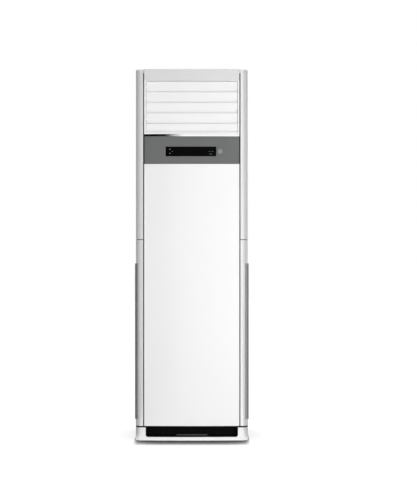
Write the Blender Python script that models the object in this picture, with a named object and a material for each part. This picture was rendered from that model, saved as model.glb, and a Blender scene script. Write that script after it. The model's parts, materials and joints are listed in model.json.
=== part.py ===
"""Floor standing air conditioner.

A tall cabinet on a plinth: a crowned front panel, a dark control panel with a display window and a push button,
five outlet louvers under a fascia, rounded corner columns, steel side panels with wrap-round intake grilles, a
pressed rear panel with the pipe and cable entries, and a top cover. The origin is at the middle of the footprint
on the floor. +Z is up and the front faces -Y. All lengths are in metres.
"""

import math

import bmesh
import bpy

# Clearances
SEAT = 0.0003
PIN_CLEARANCE = 0.0005
MOVING_CLEARANCE = 0.005

# Cabinet plan
CABINET_WIDTH = 0.532
CABINET_DEPTH = 0.380
FRONT_BOW = 0.006
COLUMN_RADIUS = 0.028
COLUMN_FLAT = 0.008
REAR_CORNER_RADIUS = 0.006
GROOVE_WIDTH = 0.005
FACE_DEPTH = 0.016

# Heights of the front, from the floor up
PLINTH_HEIGHT = 0.0614
TRAY_THICKNESS = 0.0064
FRONT_PANEL_HEIGHT = 1.2381
PANEL_GAP = 0.0008
CONTROL_PANEL_HEIGHT = 0.1297
STRIP_HEIGHT = 0.0102
STRIP_BULGE = 0.0016
LOUVER_COUNT = 5
LOUVER_PITCH = 0.0498
FASCIA_HEIGHT = 0.0533
CAP_HEIGHT = 0.018

# Walls
SHELL_WALL = 0.003
SHEET = 0.0015
POST_SHEET = 0.002

# Plinth and its recess
PLINTH_FLOOR = 0.004
RECESS_MARGIN = 0.007
RECESS_SILL = 0.0165
RECESS_DEPTH = 0.036
RECESS_RADIUS = 0.010
RECESS_BACK_WALL = 0.004
LINER_WALL = 0.0015
STRIP_BAR_LENGTH = 0.148
STRIP_BAR_HEIGHT = 0.005
STRIP_BAR_DEPTH = 0.004
STRIP_BAR_Z = 0.0215
TRAY_INSET = 0.0005
TRAY_RIM = 0.042
TRAY_DRAFT = 0.004

# Front panel
PANEL_CORNER_RADIUS = 0.004
PANEL_EDGE_RADIUS = 0.0025
RIB_WALL = 0.002
FRONT_PANEL_CELLS = 6

# Control panel
WINDOW_WIDTH = 0.236
WINDOW_CENTRE_X = -0.004
WINDOW_BOTTOM_OFFSET = 0.037
WINDOW_HEIGHT = 0.0426
WINDOW_SEAT_DEPTH = 0.005
WINDOW_SINK = 0.0010
SURROUND_SLOPE = 0.004
SURROUND_DEPTH = 0.0012
HOUSING_MARGIN = 0.006
BUTTON_GAP = 0.007
BUTTON_RADIUS = 0.014
BUTTON_THICKNESS = 0.006
BUTTON_PROUD = 0.0015
BUTTON_TRAVEL = 0.0015
BUTTON_EDGE = 0.0012

# Outlet
STILE_WIDTH = 0.008
SILL_THICKNESS = 0.003
SILL_HEIGHT = 0.0095
HEAD_HEIGHT = 0.0087
HEAD_GAP = 0.0012
BLADE_CHORD = 0.056
BLADE_THICKNESS = 0.003
BLADE_CAMBER = 0.0012
BLADE_TILT = math.radians(10)
PIVOT_SETBACK = 0.0085
PIN_RADIUS = 0.003
BLADE_END_GAP = 0.0015
PIN_REACH = 0.0055
PIN_ROOT = 0.006
BORE_EXTRA = 0.0008
DUCT_WALL = 0.002
DUCT_DEPTH = 0.170
DUCT_BEND = 0.080
VANE_COUNT = 9
VANE_DEPTH = 0.040
VANE_THICKNESS = 0.0018
VANE_RAIL = 0.006

# Posts and columns
POST_WIDTH = 0.0272
POST_DEPTH = 0.038
COLUMN_SIDE = 0.051
COLUMN_JOINT_RISE = 0.113
COLUMN_JOINT_GAP = 0.003
JOINER_HEIGHT = 0.040
JOINER_WALL = 0.002

# Side intake grilles
GRILLE_RISE = 0.0302
GRILLE_HEIGHT = 0.7374
GRILLE_PROUD = 0.004
GRILLE_THICKNESS = 0.008
GRILLE_START_ANGLE = 32.0
GRILLE_SIDE = 0.231
GRILLE_BORDER = 0.008
GRILLE_SLOTS_ACROSS = 22
GRILLE_SLOTS_UP = 4
GRILLE_BAR = 0.0042
GRILLE_TIE = 0.006
FILTER_THICKNESS = 0.0025

# Side, rear and top
SIDE_FLANGE = 0.016
REAR_FLANGE = 0.030
SWAGE_COUNT = 6
SWAGE_DEPTH = 0.005
SWAGE_HEIGHT = 0.060
SERVICE_HEIGHT = 0.2316
SERVICE_SETBACK = 0.026
TOP_EDGE_RADIUS = 0.011
PIPE_X = -0.120
PIPE_RISE = 0.1216
PIPE_RADIUS = 0.040
PIPE_LIP = 0.006
PIPE_COVER_THICKNESS = 0.003
GLAND_X = 0.130
GLAND_RISE = 0.0816
GLAND_RADIUS = 0.008
GLAND_BORE = 0.0042
BRACKET_WIDTH = 0.090
BRACKET_HEIGHT = 0.044
BRACKET_SLOT = 0.007
BRACKET_DROP = 0.030

# Steps of the round stretches
CROWN_STEPS = 10
CORNER_STEPS = 6
SMALL_STEPS = 3
PIN_SIDES = 12
BORE_SIDES = 16
ROUND_SIDES = 32

# Derived places
HALF_WIDTH = CABINET_WIDTH / 2
REAR_Y = CABINET_DEPTH / 2
FACE_Y = -CABINET_DEPTH / 2 + FRONT_BOW
BACK_OF_FACE_Y = FACE_Y + FACE_DEPTH
CORNER_CENTRE_X = HALF_WIDTH - COLUMN_RADIUS
CORNER_CENTRE_Y = FACE_Y + COLUMN_RADIUS
COLUMN_X = CORNER_CENTRE_X - COLUMN_FLAT
COLUMN_SIDE_END = CORNER_CENTRE_Y + COLUMN_SIDE
PANEL_HALF_WIDTH = COLUMN_X - GROOVE_WIDTH
RECESS_HALF_WIDTH = PANEL_HALF_WIDTH - RECESS_MARGIN

TRAY_Z = PLINTH_HEIGHT + SEAT
BODY_Z = TRAY_Z + TRAY_THICKNESS + SEAT
FRONT_PANEL_TOP = BODY_Z + FRONT_PANEL_HEIGHT
CONTROL_Z = FRONT_PANEL_TOP + PANEL_GAP
CONTROL_TOP = CONTROL_Z + CONTROL_PANEL_HEIGHT
STRIP_Z = CONTROL_TOP + SEAT
STRIP_TOP = STRIP_Z + STRIP_HEIGHT
OUTLET_Z = STRIP_TOP + SEAT
SILL_TOP = OUTLET_Z + SILL_HEIGHT
SILL_REAR_Y = FACE_Y + SILL_THICKNESS

BLADE_EDGE = BLADE_THICKNESS / 2
BLADE_REACH = (BLADE_CHORD / 2 - BLADE_EDGE) * math.cos(BLADE_TILT) + BLADE_EDGE
BLADE_SWING = BLADE_CHORD / 2 + BLADE_THICKNESS
LOWEST_PIVOT_Z = CONTROL_TOP + MOVING_CLEARANCE + SEAT + BLADE_REACH
HIGHEST_PIVOT_Z = LOWEST_PIVOT_Z + (LOUVER_COUNT - 1) * LOUVER_PITCH
PIVOT_Y = FACE_Y + PIVOT_SETBACK
BLADE_TOP = HIGHEST_PIVOT_Z + BLADE_REACH
FRAME_OPENING_TOP = BLADE_TOP + HEAD_GAP
FASCIA_Z = BLADE_TOP + MOVING_CLEARANCE
HEAD_Z = FASCIA_Z + SEAT
OUTLET_TOP = HEAD_Z + HEAD_HEIGHT
CABINET_TOP = FASCIA_Z + FASCIA_HEIGHT
BODY_TOP = CABINET_TOP - CAP_HEIGHT

STILE_X = PANEL_HALF_WIDTH - STILE_WIDTH
BLADE_HALF_LENGTH = STILE_X - BLADE_END_GAP
PIN_END = STILE_X + PIN_REACH
POST_X = STILE_X + SEAT
POST_Y = BACK_OF_FACE_Y + SEAT
DUCT_Y = PIVOT_Y + BLADE_SWING + MOVING_CLEARANCE
VANE_Y = DUCT_Y + MOVING_CLEARANCE

WINDOW_LEFT = WINDOW_CENTRE_X - WINDOW_WIDTH / 2
WINDOW_RIGHT = WINDOW_CENTRE_X + WINDOW_WIDTH / 2
WINDOW_Z = CONTROL_Z + WINDOW_BOTTOM_OFFSET
WINDOW_TOP = WINDOW_Z + WINDOW_HEIGHT
BUTTON_X = WINDOW_RIGHT + BUTTON_GAP + BUTTON_RADIUS
BUTTON_Z = (WINDOW_Z + WINDOW_TOP) / 2

GRILLE_BOTTOM = BODY_Z + GRILLE_RISE
GRILLE_TOP = GRILLE_BOTTOM + GRILLE_HEIGHT
GRILLE_REAR_END = CORNER_CENTRE_Y + GRILLE_SIDE
COLUMN_JOINT_Z = GRILLE_TOP + COLUMN_JOINT_RISE
REAR_PANEL_Y = REAR_Y - SHEET - SEAT
SERVICE_Y = REAR_PANEL_Y - SERVICE_SETBACK
SERVICE_TOP = BODY_Z + SERVICE_HEIGHT
PIPE_Z = BODY_Z + PIPE_RISE
GLAND_Z = BODY_Z + GLAND_RISE
PIPE_COVER_Y = SERVICE_Y + SEAT


def crown(x):
    """The front surface at x: bowed forwards between the panel edges, flat over the columns."""
    share = min(abs(x) / PANEL_HALF_WIDTH, 1.0)
    return FACE_Y - FRONT_BOW * (1 - share**2)


def arc(centre, radius, start, end, steps):
    """Points on an arc in degrees, both ends included."""
    angles = [math.radians(start + (end - start) * i / steps) for i in range(steps + 1)]
    return [(centre[0] + radius * math.cos(a), centre[1] + radius * math.sin(a)) for a in angles]


def mirrored(points):
    """An outline reflected in X, kept in the same winding."""
    return [(-x, y) for x, y in reversed(points)]


def inset_outline(points, distance):
    """An anticlockwise outline moved inwards by a distance, with mitred corners."""
    count = len(points)
    result = []
    for i, (x, y) in enumerate(points):
        before, after = points[i - 1], points[(i + 1) % count]
        first = (x - before[0], y - before[1])
        second = (after[0] - x, after[1] - y)
        first_length, second_length = math.hypot(*first), math.hypot(*second)
        normal_a = (-first[1] / first_length, first[0] / first_length)
        normal_b = (-second[1] / second_length, second[0] / second_length)
        scale = distance / (1 + normal_a[0] * normal_b[0] + normal_a[1] * normal_b[1])
        result.append((x + scale * (normal_a[0] + normal_b[0]), y + scale * (normal_a[1] + normal_b[1])))
    return result


def new_material(name, colour, roughness, metallic=0.0):
    """A Principled material with a plain colour."""
    material = bpy.data.materials.new(name)
    material.use_nodes = True
    shader = material.node_tree.nodes["Principled BSDF"]
    shader.inputs["Base Color"].default_value = (*colour, 1.0)
    shader.inputs["Roughness"].default_value = roughness
    shader.inputs["Metallic"].default_value = metallic
    material.diffuse_color = (*colour, 1.0)
    return material


def new_object(name, bm, material=None, origin=(0.0, 0.0, 0.0)):
    """Turns a bmesh into an object with outward faces, its mesh measured from its origin."""
    bmesh.ops.recalc_face_normals(bm, faces=bm.faces)
    bmesh.ops.translate(bm, verts=bm.verts, vec=[-value for value in origin])
    mesh = bpy.data.meshes.new(name)
    bm.to_mesh(mesh)
    bm.free()
    if material:
        mesh.materials.append(material)
    thing = bpy.data.objects.new(name, mesh)
    thing.location = origin
    bpy.context.scene.collection.objects.link(thing)
    return thing


def add_loft(bm, sections):
    """Joins closed sections of equal point counts by quads and caps both ends."""
    rings = [[bm.verts.new(point) for point in section] for section in sections]
    count = len(rings[0])
    for lower, upper in zip(rings, rings[1:]):
        for i in range(count):
            j = (i + 1) % count
            bm.faces.new((lower[i], lower[j], upper[j], upper[i]))
    bm.faces.new(list(reversed(rings[0])))
    bm.faces.new(rings[-1])


def add_prism_z(bm, outline, bottom, top):
    """A plan outline raised from bottom to top."""
    add_loft(bm, [[(x, y, z) for x, y in outline] for z in (bottom, top)])


def add_prism_x(bm, outline, left, right):
    """A YZ outline run from left to right."""
    add_loft(bm, [[(x, y, z) for y, z in outline] for x in (left, right)])


def add_prism_y(bm, outline, front, rear):
    """An XZ outline run from front to rear."""
    add_loft(bm, [[(x, y, z) for x, z in outline] for y in (front, rear)])


def add_box(bm, x_range, y_range, z_range):
    """A box given by its ranges."""
    (x0, x1), (y0, y1) = x_range, y_range
    add_prism_z(bm, [(x0, y0), (x1, y0), (x1, y1), (x0, y1)], *z_range)


def add_cylinder(bm, axis, centre, radius, start, end, sides):
    """A round bar along X or Y between start and end."""
    ring = arc(centre, radius, 0, 360 - 360 / sides, sides - 1)
    (add_prism_x if axis == "X" else add_prism_y)(bm, ring, start, end)


def combine(target, bm, operation):
    """Cuts a bmesh from an object, or joins it on, and keeps the result as the object's mesh."""
    tool = new_object(target.name + "_tool", bm)
    modifier = target.modifiers.new(operation.title(), "BOOLEAN")
    modifier.operation = operation
    modifier.object = tool
    evaluated = target.evaluated_get(bpy.context.evaluated_depsgraph_get())
    mesh = bpy.data.meshes.new_from_object(evaluated)
    target.modifiers.clear()
    old = target.data
    target.data = mesh
    bpy.data.meshes.remove(old)
    mesh.name = target.name
    bpy.data.objects.remove(tool)


def crowned_outline(left, right, rear, depth, radius):
    """A plan outline whose front lies at a depth under the crowned surface, with rounded front corners."""
    span = right - left
    points = [(right, rear)]
    points += arc((right - radius, crown(right) + depth + radius), radius, 0, -90, SMALL_STEPS)
    for i in range(1, CROWN_STEPS):
        x = right - radius - (span - 2 * radius) * i / CROWN_STEPS
        points.append((x, crown(x) + depth))
    points += arc((left + radius, crown(left) + depth + radius), radius, 270, 180, SMALL_STEPS)
    points.append((left, rear))
    return points


def add_crowned_block(bm, x_range, z_range, rear, depth, radius, edge=0.0):
    """A block with a crowned front, its top and bottom front edges rounded when an edge radius is given."""
    (left, right), (bottom, top) = x_range, z_range
    levels = [(bottom, 0.0), (top, 0.0)]
    if edge:
        turns = [math.radians(90 * i / SMALL_STEPS) for i in range(SMALL_STEPS + 1)]
        lower = [(bottom + edge * (1 - math.cos(a)), edge * (1 - math.sin(a))) for a in turns]
        levels = lower + [(bottom + top - z, inset) for z, inset in reversed(lower)]
    sections = []
    for z, inset in levels:
        outline = crowned_outline(left + inset, right - inset, rear, depth + inset, radius - inset)
        sections.append([(x, y, z) for x, y in outline])
    add_loft(bm, sections)


def add_pockets(bm, half_width, z_range, count):
    """The hollows behind a moulded front: a row of cells one above another, with ribs between them."""
    bottom, top = z_range[0] + SHELL_WALL, z_range[1] - SHELL_WALL
    height = (top - bottom - (count - 1) * RIB_WALL) / count
    limit = half_width - SHELL_WALL
    for i in range(count):
        z = bottom + i * (height + RIB_WALL)
        add_crowned_block(
            bm, (-limit, limit), (z, z + height), BACK_OF_FACE_Y + SHELL_WALL, SHELL_WALL, RIB_WALL / 2
        )


def body_outline():
    """The cabinet's plan: crowned front, round front corners and small rear corners, anticlockwise."""
    right = arc((CORNER_CENTRE_X, CORNER_CENTRE_Y), COLUMN_RADIUS, -90, 0, CORNER_STEPS)
    rear_centre = (HALF_WIDTH - REAR_CORNER_RADIUS, REAR_Y - REAR_CORNER_RADIUS)
    right += arc(rear_centre, REAR_CORNER_RADIUS, 0, 90, SMALL_STEPS)
    front = []
    for i in range(CROWN_STEPS + 1):
        x = -PANEL_HALF_WIDTH + 2 * PANEL_HALF_WIDTH * i / CROWN_STEPS
        front.append((x, crown(x)))
    return front + right + mirrored(right)


def column_path(offset):
    """The quarter round of the right column's wall, at an offset from its outer face."""
    return arc((CORNER_CENTRE_X, CORNER_CENTRE_Y), COLUMN_RADIUS + offset, -90, 0, CORNER_STEPS)


def handed(points, side):
    """A right-hand outline for side 1, or its reflection for side -1."""
    return points if side > 0 else mirrored(points)


def side_range(side, inner, outer):
    """An X range on one side of the cabinet, low value first."""
    return (inner, outer) if side > 0 else (-outer, -inner)


def side_name(side):
    """The word that names a side, as seen from the front."""
    return "right" if side > 0 else "left"


def build_plinth(white):
    """The base: a tray with round corners and a recess in its front."""
    bm = bmesh.new()
    add_prism_z(bm, body_outline(), 0, PLINTH_HEIGHT)
    plinth = new_object("base_plinth", bm, white)

    recess_rear = FACE_Y + RECESS_DEPTH
    bm = bmesh.new()
    add_prism_y(bm, recess_outline(0.0), FACE_Y - 2 * FRONT_BOW, recess_rear)
    combine(plinth, bm, "DIFFERENCE")

    limit = HALF_WIDTH - SHELL_WALL - REAR_CORNER_RADIUS
    bm = bmesh.new()
    add_box(
        bm,
        (-limit, limit),
        (recess_rear + RECESS_BACK_WALL, REAR_Y - SHELL_WALL),
        (PLINTH_FLOOR, PLINTH_HEIGHT + SHELL_WALL),
    )
    combine(plinth, bm, "DIFFERENCE")
    return plinth


def recess_outline(inset):
    """The recess seen from the front, open at the top, with round lower corners."""
    half = RECESS_HALF_WIDTH - inset
    radius = RECESS_RADIUS - inset
    floor = RECESS_SILL + inset
    top = PLINTH_HEIGHT + SHELL_WALL
    right = arc((half - radius, floor + radius), radius, -90, 0, CORNER_STEPS) + [(half, top)]
    return right + mirrored(right)


def build_recess_liner(black):
    """The black insert that lines the recess: floor, cheeks and back."""
    bm = bmesh.new()
    rear = FACE_Y + RECESS_DEPTH - SEAT
    front = FACE_Y + SHELL_WALL
    outline = [(x, min(z, PLINTH_HEIGHT)) for x, z in recess_outline(SEAT)]
    add_prism_y(bm, outline, front, rear)
    liner = new_object("toe_recess_panel", bm, black)
    bm = bmesh.new()
    add_prism_y(bm, recess_outline(SEAT + LINER_WALL), front - SHELL_WALL, rear - LINER_WALL)
    combine(liner, bm, "DIFFERENCE")


def build_recess_bar(grey):
    """The thin pale bar on the back of the recess."""
    half = STRIP_BAR_LENGTH / 2
    rear = FACE_Y + RECESS_DEPTH - SEAT - LINER_WALL - SEAT
    bm = bmesh.new()
    add_box(
        bm,
        (-half, half),
        (rear - STRIP_BAR_DEPTH, rear),
        (STRIP_BAR_Z - STRIP_BAR_HEIGHT / 2, STRIP_BAR_Z + STRIP_BAR_HEIGHT / 2),
    )
    new_object("toe_recess_bar", bm, grey)


def build_tray(steel):
    """The dark steel bottom tray, whose edge is the shadow line over the plinth."""
    outline = inset_outline(body_outline(), TRAY_INSET)
    bm = bmesh.new()
    add_prism_z(bm, outline, TRAY_Z, TRAY_Z + TRAY_THICKNESS)
    tray = new_object("bottom_tray", bm, steel)
    half, front, rear = HALF_WIDTH - TRAY_RIM, FACE_Y + TRAY_RIM, REAR_Y - TRAY_RIM
    sections = []
    for z, spread in ((TRAY_Z + SHEET, 0.0), (TRAY_Z + TRAY_THICKNESS + SEAT, TRAY_DRAFT)):
        left, right = -half - spread, half + spread
        near, far = front - spread, rear + spread
        sections.append([(left, near, z), (right, near, z), (right, far, z), (left, far, z)])
    bm = bmesh.new()
    add_loft(bm, sections)
    combine(tray, bm, "DIFFERENCE")


def build_posts(steel):
    """The two channel posts behind the grooves, which carry the front and the columns."""
    for side in (1, -1):
        x0, x1 = POST_X, POST_X + POST_WIDTH
        y0, y1 = POST_Y, POST_Y + POST_DEPTH
        outline = [
            (x0, y0),
            (x1, y0),
            (x1, y1),
            (x1 - POST_SHEET, y1),
            (x1 - POST_SHEET, y0 + POST_SHEET),
            (x0 + POST_SHEET, y0 + POST_SHEET),
            (x0 + POST_SHEET, y1),
            (x0, y1),
        ]
        bm = bmesh.new()
        add_prism_z(bm, handed(outline, side), BODY_Z, BODY_TOP)
        new_object(side_name(side) + "_chassis_post", bm, steel)


def build_front_panel(white):
    """The large crowned front panel, a moulded shell with ribs behind."""
    z_range = (BODY_Z, FRONT_PANEL_TOP)
    bm = bmesh.new()
    half = PANEL_HALF_WIDTH
    add_crowned_block(bm, (-half, half), z_range, BACK_OF_FACE_Y, 0, PANEL_CORNER_RADIUS, PANEL_EDGE_RADIUS)
    panel = new_object("front_panel", bm, white)
    bm = bmesh.new()
    add_pockets(bm, half, z_range, FRONT_PANEL_CELLS)
    combine(panel, bm, "DIFFERENCE")


def build_control_panel(grey):
    """The dark control panel: its shell, the sloped surround, the window seat and the button bore."""
    half = PANEL_HALF_WIDTH
    z_range = (CONTROL_Z, CONTROL_TOP)
    bm = bmesh.new()
    add_crowned_block(bm, (-half, half), z_range, BACK_OF_FACE_Y, 0, PANEL_CORNER_RADIUS, PANEL_EDGE_RADIUS / 2)
    panel = new_object("control_panel", bm, grey)

    limit = half - SHELL_WALL
    low, high = CONTROL_Z + SHELL_WALL, CONTROL_TOP - SHELL_WALL
    housing_left = WINDOW_LEFT - HOUSING_MARGIN
    housing_right = BUTTON_X + BUTTON_RADIUS + HOUSING_MARGIN
    housing_low = WINDOW_Z - HOUSING_MARGIN
    housing_high = WINDOW_TOP + HOUSING_MARGIN
    cells = [
        ((-limit, housing_left), (low, high)),
        ((housing_right, limit), (low, high)),
        ((housing_left + RIB_WALL, housing_right - RIB_WALL), (low, housing_low)),
        ((housing_left + RIB_WALL, housing_right - RIB_WALL), (housing_high, high)),
    ]
    bm = bmesh.new()
    for x_cell, z_cell in cells:
        add_crowned_block(bm, x_cell, z_cell, BACK_OF_FACE_Y + SHELL_WALL, SHELL_WALL, RIB_WALL / 2)
    combine(panel, bm, "DIFFERENCE")

    bm = bmesh.new()
    add_surround(bm)
    combine(panel, bm, "DIFFERENCE")
    bm = bmesh.new()
    seat = (WINDOW_LEFT, WINDOW_RIGHT), (crown(0) - FRONT_BOW, window_rear() + SEAT), (WINDOW_Z, WINDOW_TOP)
    add_box(bm, *seat)
    combine(panel, bm, "DIFFERENCE")
    bm = bmesh.new()
    bore = BUTTON_RADIUS + PIN_CLEARANCE
    add_cylinder(
        bm, "Y", (BUTTON_X, BUTTON_Z), bore, crown(0) - FRONT_BOW, button_rear() + 2 * BUTTON_TRAVEL, ROUND_SIDES
    )
    combine(panel, bm, "DIFFERENCE")


def add_surround(bm):
    """The shallow sloped dish round the display window, following the crowned face."""
    levels = [
        (WINDOW_Z - SURROUND_SLOPE, 0.02),
        (WINDOW_Z - SEAT, 1.0),
        (WINDOW_TOP + SEAT, 1.0),
        (WINDOW_TOP + SURROUND_SLOPE, 0.02),
    ]
    left, right = WINDOW_LEFT - SEAT, WINDOW_RIGHT + SEAT
    clear_front = crown(0) - FRONT_BOW
    sections = []
    for z, share in levels:
        depth = SURROUND_DEPTH * share
        back = [(left + (right - left) * i / CROWN_STEPS) for i in range(CROWN_STEPS + 1)]
        outer_left, outer_right = left - SURROUND_SLOPE, right + SURROUND_SLOPE
        points = [(outer_left, clear_front), (outer_right, clear_front)]
        points += [(outer_right, crown(outer_right) + SURROUND_DEPTH * 0.02)]
        points += [(x, crown(x) + depth) for x in reversed(back)]
        points += [(outer_left, crown(outer_left) + SURROUND_DEPTH * 0.02)]
        sections.append([(x, y, z) for x, y in points])
    add_loft(bm, sections)


def window_rear():
    """The flat rear of the display window."""
    return crown(WINDOW_LEFT) + SURROUND_DEPTH + WINDOW_SEAT_DEPTH


def build_window(black):
    """The black display window in its seat."""
    bm = bmesh.new()
    add_crowned_block(
        bm,
        (WINDOW_LEFT + SEAT, WINDOW_RIGHT - SEAT),
        (WINDOW_Z + SEAT, WINDOW_TOP - SEAT),
        window_rear(),
        SURROUND_DEPTH + WINDOW_SINK,
        RIB_WALL / 2,
    )
    new_object("display_window", bm, black)


def button_rear():
    """The rear face of the push button at rest."""
    return crown(BUTTON_X) - BUTTON_PROUD + BUTTON_THICKNESS


def build_button(grey):
    """The round push button, turned about its own axis, with a dished face."""
    front = crown(BUTTON_X) - BUTTON_PROUD
    rear = button_rear()
    profile = [(0.0, rear), (BUTTON_RADIUS, rear), (BUTTON_RADIUS, front + BUTTON_EDGE)]
    profile += [(BUTTON_RADIUS - BUTTON_EDGE, front), (BUTTON_RADIUS * 0.6, front + BUTTON_EDGE / 2)]
    profile += [(0.0, front + BUTTON_EDGE)]
    new_object("power_button", turned_y(profile, BUTTON_X, BUTTON_Z), grey, (BUTTON_X, front, BUTTON_Z))


def turned_y(profile, x, z, sides=ROUND_SIDES):
    """A profile of radius and y pairs, spun about an axis along Y through x and z."""
    bm = bmesh.new()
    loop = [bm.verts.new((x + radius, y, z)) for radius, y in profile]
    edges = [bm.edges.new(pair) for pair in zip(loop, loop[1:])]
    if profile[0][0] > 0:
        edges.append(bm.edges.new((loop[-1], loop[0])))
    bmesh.ops.spin(
        bm,
        geom=loop + edges,
        cent=(x, 0, z),
        axis=(0, 1, 0),
        angle=math.tau,
        steps=sides,
        use_merge=True,
        use_duplicate=False,
    )
    bmesh.ops.remove_doubles(bm, verts=bm.verts, dist=0.00001)
    return bm


def build_strip(polished):
    """The polished strip: a bead over the control panel that follows its crowned edge."""
    middle = (STRIP_Z + STRIP_TOP) / 2
    half = STRIP_HEIGHT / 2
    sections = []
    for i in range(CROWN_STEPS + 1):
        x = -PANEL_HALF_WIDTH + 2 * PANEL_HALF_WIDTH * i / CROWN_STEPS
        front = crown(x)
        bead = []
        for step in range(CORNER_STEPS + 1):
            share = -1 + 2 * step / CORNER_STEPS
            bead.append((x, front + STRIP_BULGE * share**2, middle + half * share))
        sections.append(bead + [(x, SILL_REAR_Y, STRIP_TOP), (x, SILL_REAR_Y, STRIP_Z)])
    bm = bmesh.new()
    add_loft(bm, sections)
    new_object("polished_strip", bm, polished)


def pivot_heights():
    """The louver pivots, from the top one down."""
    return [HIGHEST_PIVOT_Z - i * LOUVER_PITCH for i in range(LOUVER_COUNT)]


def build_outlet_frame(white):
    """The frame round the louvers: two stiles with pivot bores, a sill and a head."""
    half = PANEL_HALF_WIDTH
    bm = bmesh.new()
    add_box(bm, (-half, half), (FACE_Y, BACK_OF_FACE_Y), (OUTLET_Z, OUTLET_TOP))
    frame = new_object("outlet_frame", bm, white)

    bm = bmesh.new()
    beyond = FACE_Y - SHELL_WALL, BACK_OF_FACE_Y + SHELL_WALL
    add_box(bm, (-STILE_X, STILE_X), beyond, (SILL_TOP, FRAME_OPENING_TOP))
    combine(frame, bm, "DIFFERENCE")
    bm = bmesh.new()
    add_box(bm, (-STILE_X, STILE_X), (SILL_REAR_Y, beyond[1]), (OUTLET_Z - SHELL_WALL, SILL_TOP + SHELL_WALL))
    combine(frame, bm, "DIFFERENCE")
    bm = bmesh.new()
    lip_rear = FACE_Y + SHELL_WALL + SEAT
    wide = half + SHELL_WALL
    add_box(bm, (-wide, wide), (beyond[0], lip_rear), (FASCIA_Z - SEAT, OUTLET_TOP + SHELL_WALL))
    combine(frame, bm, "DIFFERENCE")

    bm = bmesh.new()
    for z in pivot_heights():
        for side in (1, -1):
            bore = side_range(side, STILE_X - SEAT, PIN_END + BORE_EXTRA)
            add_cylinder(bm, "X", (PIVOT_Y, z), PIN_RADIUS + PIN_CLEARANCE, *bore, BORE_SIDES)
    combine(frame, bm, "DIFFERENCE")


def blade_outline():
    """The louver's section about its pivot: a thin cambered blade with round edges, its upper edge forwards."""
    span = BLADE_CHORD / 2 - BLADE_EDGE
    steps = CORNER_STEPS
    places = [span - 2 * span * i / steps for i in range(steps + 1)]
    front = [(-BLADE_CAMBER * (1 - (s / span) ** 2) - BLADE_EDGE, s) for s in places]
    rear = [(y + BLADE_THICKNESS, s) for y, s in reversed(front)]
    lower = arc((0.0, -span), BLADE_EDGE, 180, 360, SMALL_STEPS + 1)[1:-1]
    upper = arc((0.0, span), BLADE_EDGE, 0, 180, SMALL_STEPS + 1)[1:-1]
    cos, sin = math.cos(BLADE_TILT), math.sin(BLADE_TILT)
    return [(y * cos - z * sin, z * cos + y * sin) for y, z in front + lower + rear + upper]


def build_louvers(white):
    """The louvers: each a blade with a pivot pin at both ends, its origin on its pivot."""
    for number, z in enumerate(pivot_heights(), start=1):
        bm = bmesh.new()
        section = [(y + PIVOT_Y, height + z) for y, height in blade_outline()]
        add_prism_x(bm, section, -BLADE_HALF_LENGTH, BLADE_HALF_LENGTH)
        louver = new_object(f"louver_{number}", bm, white, (0.0, PIVOT_Y, z))
        for side in (1, -1):
            bm = bmesh.new()
            pin = side_range(side, BLADE_HALF_LENGTH - PIN_ROOT, PIN_END)
            add_cylinder(bm, "X", (PIVOT_Y, z), PIN_RADIUS, *pin, PIN_SIDES)
            combine(louver, bm, "UNION")


def build_fascia(pale_grey):
    """The fascia over the louvers: a moulded shell whose front hangs down as a lip."""
    half = PANEL_HALF_WIDTH
    bm = bmesh.new()
    z_range = (FASCIA_Z, CABINET_TOP)
    add_crowned_block(bm, (-half, half), z_range, BACK_OF_FACE_Y, 0, PANEL_CORNER_RADIUS, PANEL_EDGE_RADIUS)
    fascia = new_object("top_fascia", bm, pale_grey)
    web = OUTLET_TOP + SEAT
    bm = bmesh.new()
    add_pockets(bm, half, (web, CABINET_TOP), 1)
    combine(fascia, bm, "DIFFERENCE")
    bm = bmesh.new()
    beyond = BACK_OF_FACE_Y + SHELL_WALL
    wide = half + SHELL_WALL
    lip = crowned_outline(-half + SHELL_WALL / 2, half - SHELL_WALL / 2, beyond, SHELL_WALL, RIB_WALL / 2)
    add_prism_z(bm, lip, FASCIA_Z - SHELL_WALL, web)
    combine(fascia, bm, "DIFFERENCE")
    bm = bmesh.new()
    add_box(bm, (-wide, wide), (FACE_Y + SHELL_WALL, beyond), (FASCIA_Z - SHELL_WALL, web))
    combine(fascia, bm, "DIFFERENCE")


def build_duct(grey):
    """The outlet duct behind the louvers: a scoop with side walls, open to the front and below."""
    half = STILE_X
    top = OUTLET_TOP - DUCT_WALL
    rear = DUCT_Y + DUCT_DEPTH

    def scoop(inset, front, bottom):
        radius = DUCT_BEND - inset
        high, back = top - inset, rear - inset
        curve = arc((back - radius, high - radius), radius, 0, 90, CORNER_STEPS)
        return [(front, bottom), (back, bottom)] + curve + [(front, high)]

    bm = bmesh.new()
    add_prism_x(bm, scoop(0.0, DUCT_Y, OUTLET_Z), -half, half)
    duct = new_object("outlet_duct", bm, grey)
    bm = bmesh.new()
    inner = half - DUCT_WALL
    add_prism_x(bm, scoop(DUCT_WALL, DUCT_Y - SHELL_WALL, OUTLET_Z - SHELL_WALL), -inner, inner)
    combine(duct, bm, "DIFFERENCE")


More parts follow.
